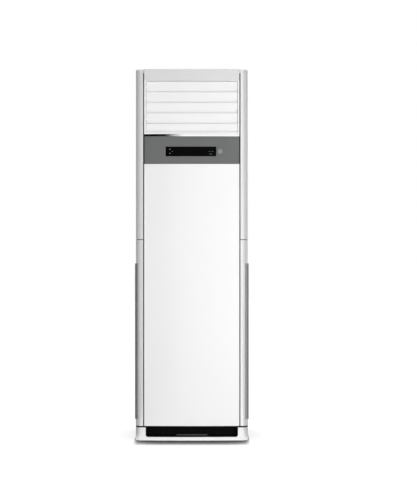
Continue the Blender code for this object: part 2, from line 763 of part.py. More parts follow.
def build_vanes(grey):
    """The upright vanes behind the louvers, on a rail between the duct walls."""
    half = STILE_X - DUCT_WALL - SEAT
    rail_z = (SILL_TOP + HEAD_Z) / 2
    bm = bmesh.new()
    middle = VANE_Y + VANE_DEPTH / 2
    rail = VANE_RAIL / 2
    add_box(bm, (-half, half), (middle - rail, middle + rail), (rail_z - rail, rail_z + rail))
    vanes = new_object("outlet_vanes", bm, grey)
    low, high = SILL_TOP + MOVING_CLEARANCE, HEAD_Z - 2 * MOVING_CLEARANCE
    bm = bmesh.new()
    for i in range(VANE_COUNT):
        x = -half + 2 * half * (i + 1) / (VANE_COUNT + 1)
        edge = VANE_THICKNESS / 2
        outline = [(x - edge, VANE_Y), (x + edge, VANE_Y), (x + edge, VANE_Y + VANE_DEPTH)]
        outline += [(x - edge, VANE_Y + VANE_DEPTH)]
        add_prism_z(bm, outline, low, high)
    combine(vanes, bm, "UNION")


def column_outline():
    """The right column's section: flange in the groove, flat, quarter round and side."""
    outer = [(COLUMN_X, BACK_OF_FACE_Y), (COLUMN_X, FACE_Y)] + column_path(0.0) + [(HALF_WIDTH, COLUMN_SIDE_END)]
    inner_side = HALF_WIDTH - SHELL_WALL
    inner_flange = COLUMN_X + SHELL_WALL
    inner = [(inner_side, COLUMN_SIDE_END)] + list(reversed(column_path(-SHELL_WALL)))
    inner += [(inner_flange, FACE_Y + SHELL_WALL), (inner_flange, BACK_OF_FACE_Y)]
    return outer + inner


def grille_gap_outline():
    """The plan of what the right grille takes out of the column and the side panel."""
    start = math.radians(GRILLE_START_ANGLE)
    turn = SEAT / COLUMN_RADIUS
    inner = COLUMN_RADIUS * 0.6
    outer = COLUMN_RADIUS * 1.6
    direction = math.sin(start - turn), -math.cos(start - turn)
    near = CORNER_CENTRE_X + inner * direction[0], CORNER_CENTRE_Y + inner * direction[1]
    far = CORNER_CENTRE_X + outer * direction[0], CORNER_CENTRE_Y + outer * direction[1]
    beyond = HALF_WIDTH + 2 * GRILLE_THICKNESS
    rear = GRILLE_REAR_END + SEAT
    return [near, far, (beyond, far[1]), (beyond, rear), (near[0], rear)]


def build_columns(white, dark):
    """The corner columns, an upper and a lower one on each side, with a joiner between them."""
    low_top = COLUMN_JOINT_Z - COLUMN_JOINT_GAP / 2
    high_bottom = COLUMN_JOINT_Z + COLUMN_JOINT_GAP / 2
    for side in (1, -1):
        name = side_name(side)
        bm = bmesh.new()
        add_prism_z(bm, handed(column_outline(), side), high_bottom, BODY_TOP)
        new_object(name + "_column_upper", bm, white)

        bm = bmesh.new()
        add_prism_z(bm, handed(column_outline(), side), BODY_Z, low_top)
        lower = new_object(name + "_column_lower", bm, white)
        bm = bmesh.new()
        add_prism_z(bm, handed(grille_gap_outline(), side), GRILLE_BOTTOM - SEAT, GRILLE_TOP + SEAT)
        combine(lower, bm, "DIFFERENCE")

        outer, inner = -SHELL_WALL - SEAT, -SHELL_WALL - SEAT - JOINER_WALL
        start_x = COLUMN_X + SHELL_WALL + SEAT
        outline = [(start_x, FACE_Y - outer)] + column_path(outer) + [(HALF_WIDTH + outer, COLUMN_SIDE_END)]
        outline += [(HALF_WIDTH + inner, COLUMN_SIDE_END)] + list(reversed(column_path(inner)))
        outline += [(start_x, FACE_Y - inner)]
        half = JOINER_HEIGHT / 2
        bm = bmesh.new()
        add_prism_z(bm, handed(outline, side), COLUMN_JOINT_Z - half, COLUMN_JOINT_Z + half)
        new_object(name + "_column_joiner", bm, dark)


def grille_stations(border, slots):
    """Distances along the grille's face where bars and slots change, and the whole length."""
    arc_length = COLUMN_RADIUS * math.radians(90 - GRILLE_START_ANGLE)
    length = arc_length + GRILLE_REAR_END - CORNER_CENTRE_Y
    slot = (length - 2 * border - (slots - 1) * GRILLE_BAR) / slots
    stations = [0.0]
    for i in range(slots):
        start = border + i * (slot + GRILLE_BAR)
        stations += [start, start + slot]
    return stations + [length]


def grille_point(distance, offset):
    """The plan point at a distance along the right grille, at an offset from the column's face."""
    arc_length = COLUMN_RADIUS * math.radians(90 - GRILLE_START_ANGLE)
    radius = COLUMN_RADIUS + offset
    if distance < arc_length:
        angle = math.radians(GRILLE_START_ANGLE) + distance / COLUMN_RADIUS
        return CORNER_CENTRE_X + radius * math.sin(angle), CORNER_CENTRE_Y - radius * math.cos(angle)
    return HALF_WIDTH + offset, CORNER_CENTRE_Y + distance - arc_length


def add_slotted_wall(bm, stations, levels, offsets, side):
    """A wall that follows the grille's face, with a slot in every odd cell both ways."""
    layers = []
    for offset in offsets:
        rows = []
        for z in levels:
            row = []
            for distance in stations:
                x, y = grille_point(distance, offset)
                row.append(bm.verts.new((side * x, y, z)))
            rows.append(row)
        layers.append(rows)
    across, up = len(stations) - 1, len(levels) - 1

    def solid(column, row):
        inside = 0 <= column < across and 0 <= row < up
        return inside and not (column % 2 and row % 2)

    for column in range(across):
        for row in range(up):
            if not solid(column, row):
                continue
            corners = [(column, row), (column + 1, row), (column + 1, row + 1), (column, row + 1)]
            neighbours = [(column, row - 1), (column + 1, row), (column, row + 1), (column - 1, row)]
            for rows in layers:
                bm.faces.new([rows[r][c] for c, r in corners])
            for i, neighbour in enumerate(neighbours):
                if not solid(*neighbour):
                    (c0, r0), (c1, r1) = corners[i], corners[(i + 1) % 4]
                    near, far = layers
                    bm.faces.new([near[r0][c0], near[r1][c1], far[r1][c1], far[r0][c0]])


def build_grilles(grey, mesh_grey):
    """The side intake grilles, which wrap round the lower corners, and the filters behind them."""
    slot_height = (GRILLE_HEIGHT - 2 * GRILLE_BORDER - (GRILLE_SLOTS_UP - 1) * GRILLE_TIE) / GRILLE_SLOTS_UP
    levels = [GRILLE_BOTTOM]
    for i in range(GRILLE_SLOTS_UP):
        start = GRILLE_BOTTOM + GRILLE_BORDER + i * (slot_height + GRILLE_TIE)
        levels += [start, start + slot_height]
    levels.append(GRILLE_TOP)
    stations = grille_stations(GRILLE_BORDER, GRILLE_SLOTS_ACROSS)
    inner = GRILLE_PROUD - GRILLE_THICKNESS
    for side in (1, -1):
        name = side_name(side)
        bm = bmesh.new()
        add_slotted_wall(bm, stations, levels, (inner, GRILLE_PROUD), side)
        new_object(name + "_intake_grille", bm, grey)
        path = [stations[0]] + stations[2:-2:2] + [stations[-1]]
        face = inner - SEAT
        outline = [grille_point(distance, face) for distance in path]
        outline += [grille_point(distance, face - FILTER_THICKNESS) for distance in reversed(path)]
        bm = bmesh.new()
        add_prism_z(bm, handed(outline, side), GRILLE_BOTTOM, GRILLE_TOP)
        new_object(name + "_air_filter", bm, mesh_grey)


def build_side_panels(white):
    """The steel side panels: folded at the front and rear, and cut away for the grilles."""
    front = COLUMN_SIDE_END + SEAT
    inner = REAR_CORNER_RADIUS - SHEET
    centre = (HALF_WIDTH - REAR_CORNER_RADIUS, REAR_Y - REAR_CORNER_RADIUS)
    outline = [(HALF_WIDTH - SIDE_FLANGE, front), (HALF_WIDTH, front)]
    outline += arc(centre, REAR_CORNER_RADIUS, 0, 90, SMALL_STEPS)
    outline += [(HALF_WIDTH - REAR_FLANGE, REAR_Y), (HALF_WIDTH - REAR_FLANGE, REAR_Y - SHEET)]
    outline += arc(centre, inner, 90, 0, SMALL_STEPS)
    outline += [(HALF_WIDTH - SHEET, front + SHEET), (HALF_WIDTH - SIDE_FLANGE, front + SHEET)]
    for side in (1, -1):
        bm = bmesh.new()
        add_prism_z(bm, handed(outline, side), BODY_Z, BODY_TOP)
        panel = new_object(side_name(side) + "_side_panel", bm, white)
        bm = bmesh.new()
        add_prism_z(bm, handed(grille_gap_outline(), side), GRILLE_BOTTOM - SEAT, GRILLE_TOP + SEAT)
        combine(panel, bm, "DIFFERENCE")


def rear_profile():
    """The rear panel's section from the bottom up: the service recess, then the pressed swages."""
    bottom, top = BODY_Z, BODY_TOP - SEAT
    slope = SWAGE_DEPTH
    first = SERVICE_TOP + SERVICE_SETBACK
    line = [(SERVICE_Y, bottom), (SERVICE_Y, SERVICE_TOP), (REAR_PANEL_Y, first)]
    pitch = (top - first) / SWAGE_COUNT
    for i in range(SWAGE_COUNT):
        middle = first + pitch * (i + 0.5)
        low, high = middle - SWAGE_HEIGHT / 2, middle + SWAGE_HEIGHT / 2
        line += [(REAR_PANEL_Y, low - slope), (REAR_PANEL_Y - SWAGE_DEPTH, low)]
        line += [(REAR_PANEL_Y - SWAGE_DEPTH, high), (REAR_PANEL_Y, high + slope)]
    line.append((REAR_PANEL_Y, top))
    return line


def build_rear_panel(steel):
    """The pressed rear panel with the holes for the pipes and the cable gland."""
    line = rear_profile()
    outline = line + [(y - SHEET, z) for y, z in reversed(line)]
    half = HALF_WIDTH - SHEET - SEAT - REAR_CORNER_RADIUS
    bm = bmesh.new()
    add_prism_x(bm, outline, -half, half)
    panel = new_object("rear_panel", bm, steel)
    bm = bmesh.new()
    through = SERVICE_Y - 2 * SHEET, SERVICE_Y + SHEET
    add_cylinder(bm, "Y", (PIPE_X, PIPE_Z), PIPE_RADIUS, *through, ROUND_SIDES)
    add_cylinder(bm, "Y", (GLAND_X, GLAND_Z), GLAND_RADIUS + SEAT, *through, BORE_SIDES)
    combine(panel, bm, "DIFFERENCE")


def build_rear_fittings(white, black, steel):
    """The pipe cover, the cable gland and the fixing plate that ties the cabinet to a wall."""
    thick = PIPE_COVER_THICKNESS
    plug = PIPE_RADIUS - SEAT - SHEET
    outer = PIPE_RADIUS + PIPE_LIP
    profile = [
        (0.0, PIPE_COVER_Y + thick),
        (outer - thick / 2, PIPE_COVER_Y + thick),
        (outer, PIPE_COVER_Y + thick / 2),
        (outer, PIPE_COVER_Y),
        (plug, PIPE_COVER_Y),
        (plug, SERVICE_Y - 2 * SHEET),
        (plug - SHEET, SERVICE_Y - 2 * SHEET),
        (plug - SHEET, PIPE_COVER_Y),
        (0.0, PIPE_COVER_Y),
    ]
    new_object("pipe_cover", turned_y(profile, PIPE_X, PIPE_Z), white)

    flange = GLAND_RADIUS * 1.5
    start, end = SERVICE_Y - 2 * SHEET, SERVICE_Y + SEAT
    profile = [
        (GLAND_BORE, start),
        (GLAND_BORE, end + 2 * GLAND_RADIUS),
        (GLAND_RADIUS * 0.8, end + 2 * GLAND_RADIUS),
        (GLAND_RADIUS, end + GLAND_RADIUS),
        (flange, end + GLAND_RADIUS),
        (flange, end),
        (GLAND_RADIUS, end),
        (GLAND_RADIUS, start),
    ]
    new_object("cable_gland", turned_y(profile, GLAND_X, GLAND_Z, BORE_SIDES), black)

    half, top = BRACKET_WIDTH / 2, BODY_TOP - BRACKET_DROP
    seat = REAR_PANEL_Y + SEAT
    bm = bmesh.new()
    add_box(bm, (-half, half), (seat, REAR_Y), (top - BRACKET_HEIGHT, top))
    bracket = new_object("wall_bracket", bm, steel)
    bm = bmesh.new()
    middle = top - BRACKET_HEIGHT / 2
    radius = BRACKET_SLOT / 2
    for side in (1, -1):
        x = side * half / 2
        right = arc((x + radius, middle), radius, -90, 90, CORNER_STEPS)
        left = arc((x - radius, middle), radius, 90, 270, CORNER_STEPS)
        add_prism_y(bm, right + left, seat - SHEET, REAR_Y + SHEET)
    combine(bracket, bm, "DIFFERENCE")


def cover_outline(inset):
    """The top cover's plan, drawn in from its outer sides but not from the notch for the fascia."""
    centre = (CORNER_CENTRE_X, CORNER_CENTRE_Y)
    rear_radius = max(REAR_CORNER_RADIUS, inset + SHEET)
    rear_centre = (HALF_WIDTH - rear_radius, REAR_Y - rear_radius)
    right = [(COLUMN_X, POST_Y), (COLUMN_X, FACE_Y + inset)]
    right += arc(centre, COLUMN_RADIUS - inset, -90, 0, CORNER_STEPS)
    right += arc(rear_centre, rear_radius - inset, 0, 90, SMALL_STEPS)
    return right + mirrored(right)


def build_top_cover(white):
    """The top cover: round corners, a rounded top edge and a notch where the fascia stands."""
    bottom = BODY_TOP + SEAT
    radius = TOP_EDGE_RADIUS
    levels = [(bottom, 0.0)]
    for i in range(CORNER_STEPS + 1):
        turn = math.radians(90 * i / CORNER_STEPS)
        levels.append((CABINET_TOP - radius + radius * math.sin(turn), radius * (1 - math.cos(turn))))
    bm = bmesh.new()
    add_loft(bm, [[(x, y, z) for x, y in cover_outline(inset)] for z, inset in levels])
    cover = new_object("top_cover", bm, white)
    side = HALF_WIDTH - TOP_EDGE_RADIUS - SHELL_WALL
    bm = bmesh.new()
    add_box(
        bm,
        (-side, side),
        (CORNER_CENTRE_Y, REAR_Y - TOP_EDGE_RADIUS - SHELL_WALL),
        (bottom - SHELL_WALL, CABINET_TOP - SHELL_WALL),
    )
    combine(cover, bm, "DIFFERENCE")


def main():
    """Clears the scene and builds every piece with its material."""
    for thing in list(bpy.data.objects):
        bpy.data.objects.remove(thing)
    white = new_material("white_moulding", (0.88, 0.89, 0.89), 0.32)
    louver_white = new_material("louver_white", (0.90, 0.91, 0.91), 0.38)
    column_white = new_material("column_silver_white", (0.74, 0.75, 0.76), 0.34)
    pale_grey = new_material("fascia_pale_grey", (0.66, 0.67, 0.68), 0.36)
    control_grey = new_material("control_dark_grey", (0.15, 0.156, 0.153), 0.38)
    window_black = new_material("window_black", (0.004, 0.004, 0.005), 0.08)
    button_grey = new_material("button_silver", (0.40, 0.41, 0.41), 0.30, 0.4)
    polished = new_material("polished_trim", (0.80, 0.80, 0.82), 0.06, 1.0)
    steel_white = new_material("painted_sheet_white", (0.82, 0.83, 0.83), 0.45)
    zinc = new_material("zinc_sheet", (0.55, 0.56, 0.57), 0.42, 0.9)
    chassis_grey = new_material("chassis_dark", (0.05, 0.05, 0.052), 0.6)
    grille_grey = new_material("grille_grey", (0.24, 0.245, 0.25), 0.5)
    filter_grey = new_material("filter_dark", (0.05, 0.052, 0.055), 0.9)
    duct_grey = new_material("duct_grey", (0.16, 0.16, 0.165), 0.7)
    black = new_material("black_plastic", (0.008, 0.008, 0.009), 0.5)
    bar_grey = new_material("recess_bar_grey", (0.20, 0.20, 0.20), 0.4)

    build_plinth(white)
    build_recess_liner(black)
    build_recess_bar(bar_grey)
    build_tray(chassis_grey)
    build_posts(chassis_grey)
    build_front_panel(white)
    build_control_panel(control_grey)
    build_window(window_black)
    build_button(button_grey)
    build_strip(polished)
    build_outlet_frame(louver_white)
    build_louvers(louver_white)
    build_fascia(pale_grey)
    build_duct(duct_grey)
    build_vanes(duct_grey)
    build_columns(column_white, chassis_grey)
    build_grilles(grille_grey, filter_grey)
    build_side_panels(steel_white)
    build_rear_panel(zinc)
    build_rear_fittings(steel_white, black, zinc)
    build_top_cover(column_white)


main()
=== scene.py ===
"""Floor standing air conditioner: the finished pieces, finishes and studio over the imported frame.

The cabinet stands on the floor with its front to -Y and its right-hand side, as seen from the front, at +X.
Each sub-assembly is a class that models its pieces at the places of the frame's nodes and dresses them.
"""

from __future__ import annotations

import json
import logging
import math
from dataclasses import dataclass
from enum import Enum
from typing import Callable, Iterable, Optional, Sequence, Union

import bmesh
import bpy
from bmesh.types import BMEdge, BMFace, BMVert
from mathutils import Matrix, Vector


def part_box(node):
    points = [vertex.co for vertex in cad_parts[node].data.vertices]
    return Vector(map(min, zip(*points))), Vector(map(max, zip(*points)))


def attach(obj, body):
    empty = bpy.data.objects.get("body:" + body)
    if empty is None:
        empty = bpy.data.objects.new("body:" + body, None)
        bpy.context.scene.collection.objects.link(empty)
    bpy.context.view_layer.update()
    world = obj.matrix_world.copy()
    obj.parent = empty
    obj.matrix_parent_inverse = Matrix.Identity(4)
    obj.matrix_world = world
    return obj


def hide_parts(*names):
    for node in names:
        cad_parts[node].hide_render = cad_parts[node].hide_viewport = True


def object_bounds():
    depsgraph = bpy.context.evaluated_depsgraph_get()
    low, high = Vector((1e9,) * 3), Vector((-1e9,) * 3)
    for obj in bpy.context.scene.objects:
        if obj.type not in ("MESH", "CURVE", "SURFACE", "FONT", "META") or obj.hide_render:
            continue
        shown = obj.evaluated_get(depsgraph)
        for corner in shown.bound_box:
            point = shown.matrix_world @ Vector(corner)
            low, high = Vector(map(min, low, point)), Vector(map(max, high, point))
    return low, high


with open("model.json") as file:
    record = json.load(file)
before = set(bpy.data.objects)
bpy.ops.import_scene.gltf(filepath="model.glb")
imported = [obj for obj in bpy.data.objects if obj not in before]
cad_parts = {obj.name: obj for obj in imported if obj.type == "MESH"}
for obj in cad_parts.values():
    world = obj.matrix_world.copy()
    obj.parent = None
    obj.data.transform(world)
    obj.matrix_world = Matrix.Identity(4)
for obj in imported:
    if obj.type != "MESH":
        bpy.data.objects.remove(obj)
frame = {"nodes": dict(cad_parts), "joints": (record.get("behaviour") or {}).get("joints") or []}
CAD_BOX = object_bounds()

LOG = logging.getLogger("cabinet")

NEAR = 0.0001
"""How close to a plane a point counts as lying in it, in metres."""

SHARP = 60.0
"""Edges that turn by more than this many degrees are square corners."""

Colour = tuple[float, float, float]
Span = tuple[float, float]
Point = tuple[float, float, float]
Input = Union[bpy.types.NodeSocket, float, Sequence[float]]


class Side(Enum):
    """The two sides of the cabinet, as seen from the front."""

    LEFT = -1
    RIGHT = 1

    @property
    def word(self) -> str:
        """The side's name in the frame's nodes."""
        return self.name.lower()


class Body(Enum):
    """The bodies that don't repeat."""

    CABINET = "cabinet"
    BUTTON = "power_button"


class Slot(Enum):
    """The record's material slots."""

    WHITE = "white_moulding"
    LOUVER = "louver_white"
    COLUMN = "column_silver_white"
    FASCIA = "fascia_pale_grey"
    CONTROL = "control_dark_grey"
    WINDOW = "window_black"
    BUTTON = "button_silver"
    TRIM = "polished_trim"
    SHEET = "painted_sheet_white"
    ZINC = "zinc_sheet"
    CHASSIS = "chassis_dark"
    GRILLE = "grille_grey"
    FILTER = "filter_dark"
    DUCT = "duct_grey"
    BLACK = "black_plastic"
    BAR = "recess_bar_grey"


class Graph:
    """Adds nodes to a node tree and links them."""

    def __init__(self, tree: bpy.types.NodeTree) -> None:
        """Keeps the tree that the nodes go into."""
        self.tree = tree

    def add(self, kind: str, inputs: Optional[dict[str | int, Input]] = None, **settings: object) -> bpy.types.Node:
        """Adds a node.

        Args:
            kind: the node's type name.
            inputs: a socket to link or a value to set, by the input's name or number.
            settings: the node's own properties.

        Returns:
            The new node.
        """
        node = self.tree.nodes.new(kind)
        for name, value in settings.items():
            setattr(node, name, value)
        for name, value in (inputs or {}).items():
            if isinstance(value, bpy.types.NodeSocket):
                self.tree.links.new(value, node.inputs[name])
            else:
                node.inputs[name].default_value = value
        return node

    def link(self, source: bpy.types.NodeSocket, target: bpy.types.NodeSocket) -> None:
        """Links one socket to another."""
        self.tree.links.new(source, target)

    def maths(self, operation: str, *values: Input) -> bpy.types.NodeSocket:
        """One arithmetic step.

        Args:
            operation: the Math node's operation.
            values: its operands, sockets or numbers.

        Returns:
            The result's socket.
        """
        return self.add("ShaderNodeMath", dict(enumerate(values)), operation=operation).outputs[0]

    def spread(self, value: Input, source: Span, target: Span = (0.0, 1.0)) -> bpy.types.NodeSocket:
        """Maps a range of values to another, held at both ends.

        Args:
            value: the socket to map.
            source: the values that become the ends of the target.
            target: the values at the ends.

        Returns:
            The mapped value's socket.
        """
        inputs = {"Value": value, "From Min": source[0], "From Max": source[1]}
        inputs.update({"To Min": target[0], "To Max": target[1]})
        return self.add("ShaderNodeMapRange", inputs, clamp=True).outputs[0]

    def blend(self, factor: Input, first: Input, second: Input) -> bpy.types.NodeSocket:
        """Mixes two colours.

        Args:
            factor: 0 for the first colour, 1 for the second.
            first: a colour or a colour's socket.
            second: a colour or a colour's socket.

        Returns:
            The mixed colour's socket.
        """
        return self.add("ShaderNodeMix", {0: factor, 6: first, 7: second}, data_type="RGBA").outputs[2]

    def noise(self, vector: Input, scale: Input, detail: float = 3.0, roughness: float = 0.55) -> bpy.types.NodeSocket:
        """Three-dimensional noise.

        Args:
            vector: where the noise is read.
            scale: its scale, in 1/m.
            detail: how many octaves.
            roughness: how strong the finer octaves are.

        Returns:
            The socket of its value.
        """
        inputs = {"Vector": vector, "Scale": scale, "Detail": detail, "Roughness": roughness}
        return self.add("ShaderNodeTexNoise", inputs).outputs["Fac"]

    def stretched(self, vector: Input, factors: Point) -> bpy.types.NodeSocket:
        """Coordinates scaled by a factor along each axis.

        Args:
            vector: the coordinates.
            factors: the factor along X, Y and Z.

        Returns:
            The scaled coordinates' socket.
        """
        return self.add("ShaderNodeMapping", {"Vector": vector, "Scale": factors}).outputs[0]


class Effect(Enum):
    """The surface effects that several finishes share, each one a node group."""

    GRAIN = "mould_grain"
    WEAR = "edge_wear"
    DUST = "settled_dust"
    SPANGLE = "zinc_spangle"
    WEAVE = "filter_weave"
    SCUFFS = "fine_scuffs"


class Effects:
    """Builds each effect's node group once."""

    built: dict[Effect, bpy.types.NodeTree] = {}

    @classmethod
    def place(cls, graph: Graph, effect: Effect, inputs: dict[str | int, Input]) -> bpy.types.Node:
        """Places an effect in a material.

        Args:
            graph: the material's nodes.
            effect: which effect.
            inputs: the values and sockets it is given.

        Returns:
            The group node.
        """
        if effect not in cls.built:
            builders = {
                Effect.GRAIN: cls.grain,
                Effect.WEAR: cls.wear,
                Effect.DUST: cls.dust,
                Effect.SPANGLE: cls.spangle,
                Effect.WEAVE: cls.weave,
                Effect.SCUFFS: cls.scuffs,
            }
            cls.built[effect] = builders[effect](effect.value)
        return graph.add("ShaderNodeGroup", inputs, node_tree=cls.built[effect])

    @staticmethod
    def start(name: str, inputs: Sequence[tuple[str, str]], outputs: Sequence[str]) -> tuple[Graph, dict, dict]:
        """Starts a node group.

        Args:
            name: the group's name.
            inputs: each input's name and socket type.
            outputs: the names of its values.

        Returns:
            The group's graph, its input sockets and its output sockets, by name.
        """
        tree = bpy.data.node_groups.new(name, "ShaderNodeTree")
        for label, kind in inputs:
            tree.interface.new_socket(name=label, in_out="INPUT", socket_type=kind)
        for label in outputs:
            tree.interface.new_socket(name=label, in_out="OUTPUT", socket_type="NodeSocketFloat")
        graph = Graph(tree)
        entry, end = graph.add("NodeGroupInput"), graph.add("NodeGroupOutput")
        given = {label: entry.outputs[label] for label, _ in inputs}
        return graph, given, {label: end.inputs[label] for label in outputs}

    @classmethod
    def grain(cls, name: str) -> bpy.types.NodeTree:
        """The fine leather of a mould and the slow drift of its tone."""
        kinds = (("Vector", "NodeSocketVector"), ("Scale", "NodeSocketFloat"))
        graph, given, out = cls.start(name, kinds, ("Height", "Tone"))
        fine = graph.noise(given["Vector"], given["Scale"], 4.0, 0.6)
        cells = graph.add(
            "ShaderNodeTexVoronoi",
            {"Vector": given["Vector"], "Scale": graph.maths("MULTIPLY", given["Scale"], 0.7)},
            feature="SMOOTH_F1",
        )
        mixed = graph.maths("MULTIPLY_ADD", cells.outputs["Distance"], 0.45, graph.maths("MULTIPLY", fine, 0.6))
        graph.link(mixed, out["Height"])
        drift = graph.noise(given["Vector"], 7.0, 4.0)
        graph.link(graph.spread(drift, (0.34, 0.66)), out["Tone"])
        return graph.tree

    @classmethod
    def wear(cls, name: str) -> bpy.types.NodeTree:
        """Rubbing along the rounded edges, broken up by noise."""
        kinds = (("Vector", "NodeSocketVector"), ("Edge", "NodeSocketFloat"))
        graph, given, out = cls.start(name, kinds, ("Mask",))
        patches = graph.spread(graph.noise(given["Vector"], 90.0, 5.0, 0.65), (0.40, 0.62), (0.15, 1.0))
        graph.link(graph.maths("MULTIPLY", patches, given["Edge"]), out["Mask"])
        return graph.tree

    @classmethod
    def dust(cls, name: str) -> bpy.types.NodeTree:
        """Dust on upward faces, and scuffing near the floor."""
        kinds = (("Vector", "NodeSocketVector"), ("Normal", "NodeSocketVector"))
        graph, given, out = cls.start(name, kinds, ("Mask",))
        upward = graph.add("ShaderNodeSeparateXYZ", {"Vector": given["Normal"]}).outputs["Z"]
        height = graph.add("ShaderNodeSeparateXYZ", {"Vector": given["Vector"]}).outputs["Z"]
        settled = graph.spread(upward, (0.35, 1.0))
        low = graph.spread(height, (0.12, 0.0), (0.0, 0.45))
        specks = graph.spread(graph.noise(given["Vector"], 42.0, 6.0, 0.7), (0.36, 0.68), (0.25, 1.0))
        graph.link(graph.maths("MULTIPLY", graph.maths("MAXIMUM", settled, low), specks), out["Mask"])
        return graph.tree

    @classmethod
    def spangle(cls, name: str) -> bpy.types.NodeTree:
        """The crystals of a zinc coat, with faint rolling lines."""
        graph, given, out = cls.start(name, (("Vector", "NodeSocketVector"),), ("Tone", "Height"))
        ripple = graph.add("ShaderNodeTexNoise", {"Vector": given["Vector"], "Scale": 60.0}).outputs["Color"]
        warped = graph.add("ShaderNodeMix", {0: 0.012, 4: given["Vector"], 5: ripple}, data_type="VECTOR").outputs[1]
        cells = graph.add("ShaderNodeTexVoronoi", {"Vector": warped, "Scale": 75.0})
        shade = graph.add("ShaderNodeRGBToBW", {"Color": cells.outputs["Color"]}).outputs[0]
        lines = graph.noise(graph.stretched(given["Vector"], (900.0, 900.0, 12.0)), 1.0, 2.0)
        tone = graph.maths("MULTIPLY_ADD", lines, 0.30, graph.maths("MULTIPLY", shade, 0.75))
        graph.link(tone, out["Tone"])
        graph.link(graph.maths("MULTIPLY_ADD", shade, 0.4, lines), out["Height"])
        return graph.tree

    @classmethod
    def weave(cls, name: str) -> bpy.types.NodeTree:
        """The crossed threads of a filter mesh, on the piece's own UV map in metres."""
        kinds = (("Vector", "NodeSocketVector"), ("Pitch", "NodeSocketFloat"))
        graph, given, out = cls.start(name, kinds, ("Height", "Thread"))
        axes = graph.add("ShaderNodeSeparateXYZ", {"Vector": given["Vector"]})
        turns = []
        for axis in ("X", "Y"):
            angle = graph.maths("MULTIPLY", graph.maths("DIVIDE", axes.outputs[axis], given["Pitch"]), math.pi)
            turns.append(graph.maths("ABSOLUTE", graph.maths("SINE", angle)))
        thread = graph.maths("MAXIMUM", *turns)
        graph.link(graph.spread(thread, (0.45, 1.0)), out["Height"])
        graph.link(graph.spread(thread, (0.62, 0.78)), out["Thread"])
        return graph.tree

    @classmethod
    def scuffs(cls, name: str) -> bpy.types.NodeTree:
        """Hairline wiping marks that run along X."""
        graph, given, out = cls.start(name, (("Vector", "NodeSocketVector"),), ("Mask",))
        hairs = graph.noise(graph.stretched(given["Vector"], (14.0, 700.0, 700.0)), 1.0, 4.0, 0.7)
        patches = graph.spread(graph.noise(given["Vector"], 22.0), (0.40, 0.66))
        graph.link(graph.maths("MULTIPLY", graph.spread(hairs, (0.52, 0.70)), patches), out["Mask"])
        return graph.tree


@dataclass(frozen=True)
class Finish:
    """A finish: its name, its colour and how glossy it is."""

    name: str
    colour: Colour
    roughness: float

    def material(self) -> bpy.types.Material:
        """The finish as a material, made on first use."""
        found = bpy.data.materials.get(self.name)
        if found:
            return found
        material = bpy.data.materials.new(self.name)
        material.use_nodes = True
        material.diffuse_color = (*self.colour, 1.0)
        graph = Graph(material.node_tree)
        self.paint(graph, material.node_tree.nodes["Principled BSDF"])
        return material

    def paint(self, graph: Graph, shader: bpy.types.Node) -> None:
        """Connects the surface's nodes to its shader."""
        raise NotImplementedError

    @staticmethod
    def position(graph: Graph) -> bpy.types.NodeSocket:
        """The object coordinates, in metres in the frame."""
        return graph.add("ShaderNodeTexCoord").outputs["Object"]

    @staticmethod
    def edge(graph: Graph) -> bpy.types.NodeSocket:
        """The attribute that is 1 on rounded edges."""
        return graph.add("ShaderNodeAttribute", attribute_name="edge").outputs["Fac"]

    @staticmethod
    def normal(graph: Graph) -> bpy.types.NodeSocket:
        """The surface's normal."""
        return graph.add("ShaderNodeNewGeometry").outputs["Normal"]

    @staticmethod
    def relief(graph: Graph, shader: bpy.types.Node, height: Input, strength: float, distance: float) -> None:
        """Feeds a height to the shader's normal."""
        inputs = {"Height": height, "Strength": strength, "Distance": distance}
        graph.link(graph.add("ShaderNodeBump", inputs).outputs[0], shader.inputs["Normal"])


@dataclass(frozen=True)
class Moulding(Finish):
    """A moulded plastic: fine grain, slow drift of tone, rubbed edges, dust."""

    drift: float = 0.03
    grain: float = 1400.0
    depth: float = 0.00003
    wear: float = 0.25
    wear_colour: Colour = (0.95, 0.95, 0.94)
    dust: float = 0.25
    dust_colour: Colour = (0.62, 0.60, 0.56)
    specular: float = 0.5
    coat: float = 0.0
    metallic: float = 0.0

    def paint(self, graph: Graph, shader: bpy.types.Node) -> None:
        """Connects colour, roughness and grain."""
        place = self.position(graph)
        grain = Effects.place(graph, Effect.GRAIN, {"Vector": place, "Scale": self.grain})
        wear = Effects.place(graph, Effect.WEAR, {"Vector": place, "Edge": self.edge(graph)}).outputs["Mask"]
        dust = Effects.place(graph, Effect.DUST, {"Vector": place, "Normal": self.normal(graph)}).outputs["Mask"]
        darker = tuple(value * (1 - self.drift) for value in self.colour)
        base = graph.blend(grain.outputs["Tone"], (*darker, 1.0), (*self.colour, 1.0))
        base = graph.blend(graph.maths("MULTIPLY", wear, self.wear), base, (*self.wear_colour, 1.0))
        base = graph.blend(graph.maths("MULTIPLY", dust, self.dust), base, (*self.dust_colour, 1.0))
        graph.link(base, shader.inputs["Base Color"])
        swing = min(self.drift, 0.03)
        gloss = graph.spread(grain.outputs["Tone"], (0.0, 1.0), (self.roughness + swing, self.roughness - swing))
        gloss = graph.maths("MULTIPLY_ADD", dust, 0.3 * self.dust, gloss)
        graph.link(graph.maths("MULTIPLY_ADD", wear, -0.15 * self.wear, gloss), shader.inputs["Roughness"])
        shader.inputs["Specular IOR Level"].default_value = self.specular
        shader.inputs["Metallic"].default_value = self.metallic
        shader.inputs["Coat Weight"].default_value = self.coat
        shader.inputs["Coat Roughness"].default_value = 0.12
        self.relief(graph, shader, grain.outputs["Height"], 0.35, self.depth)


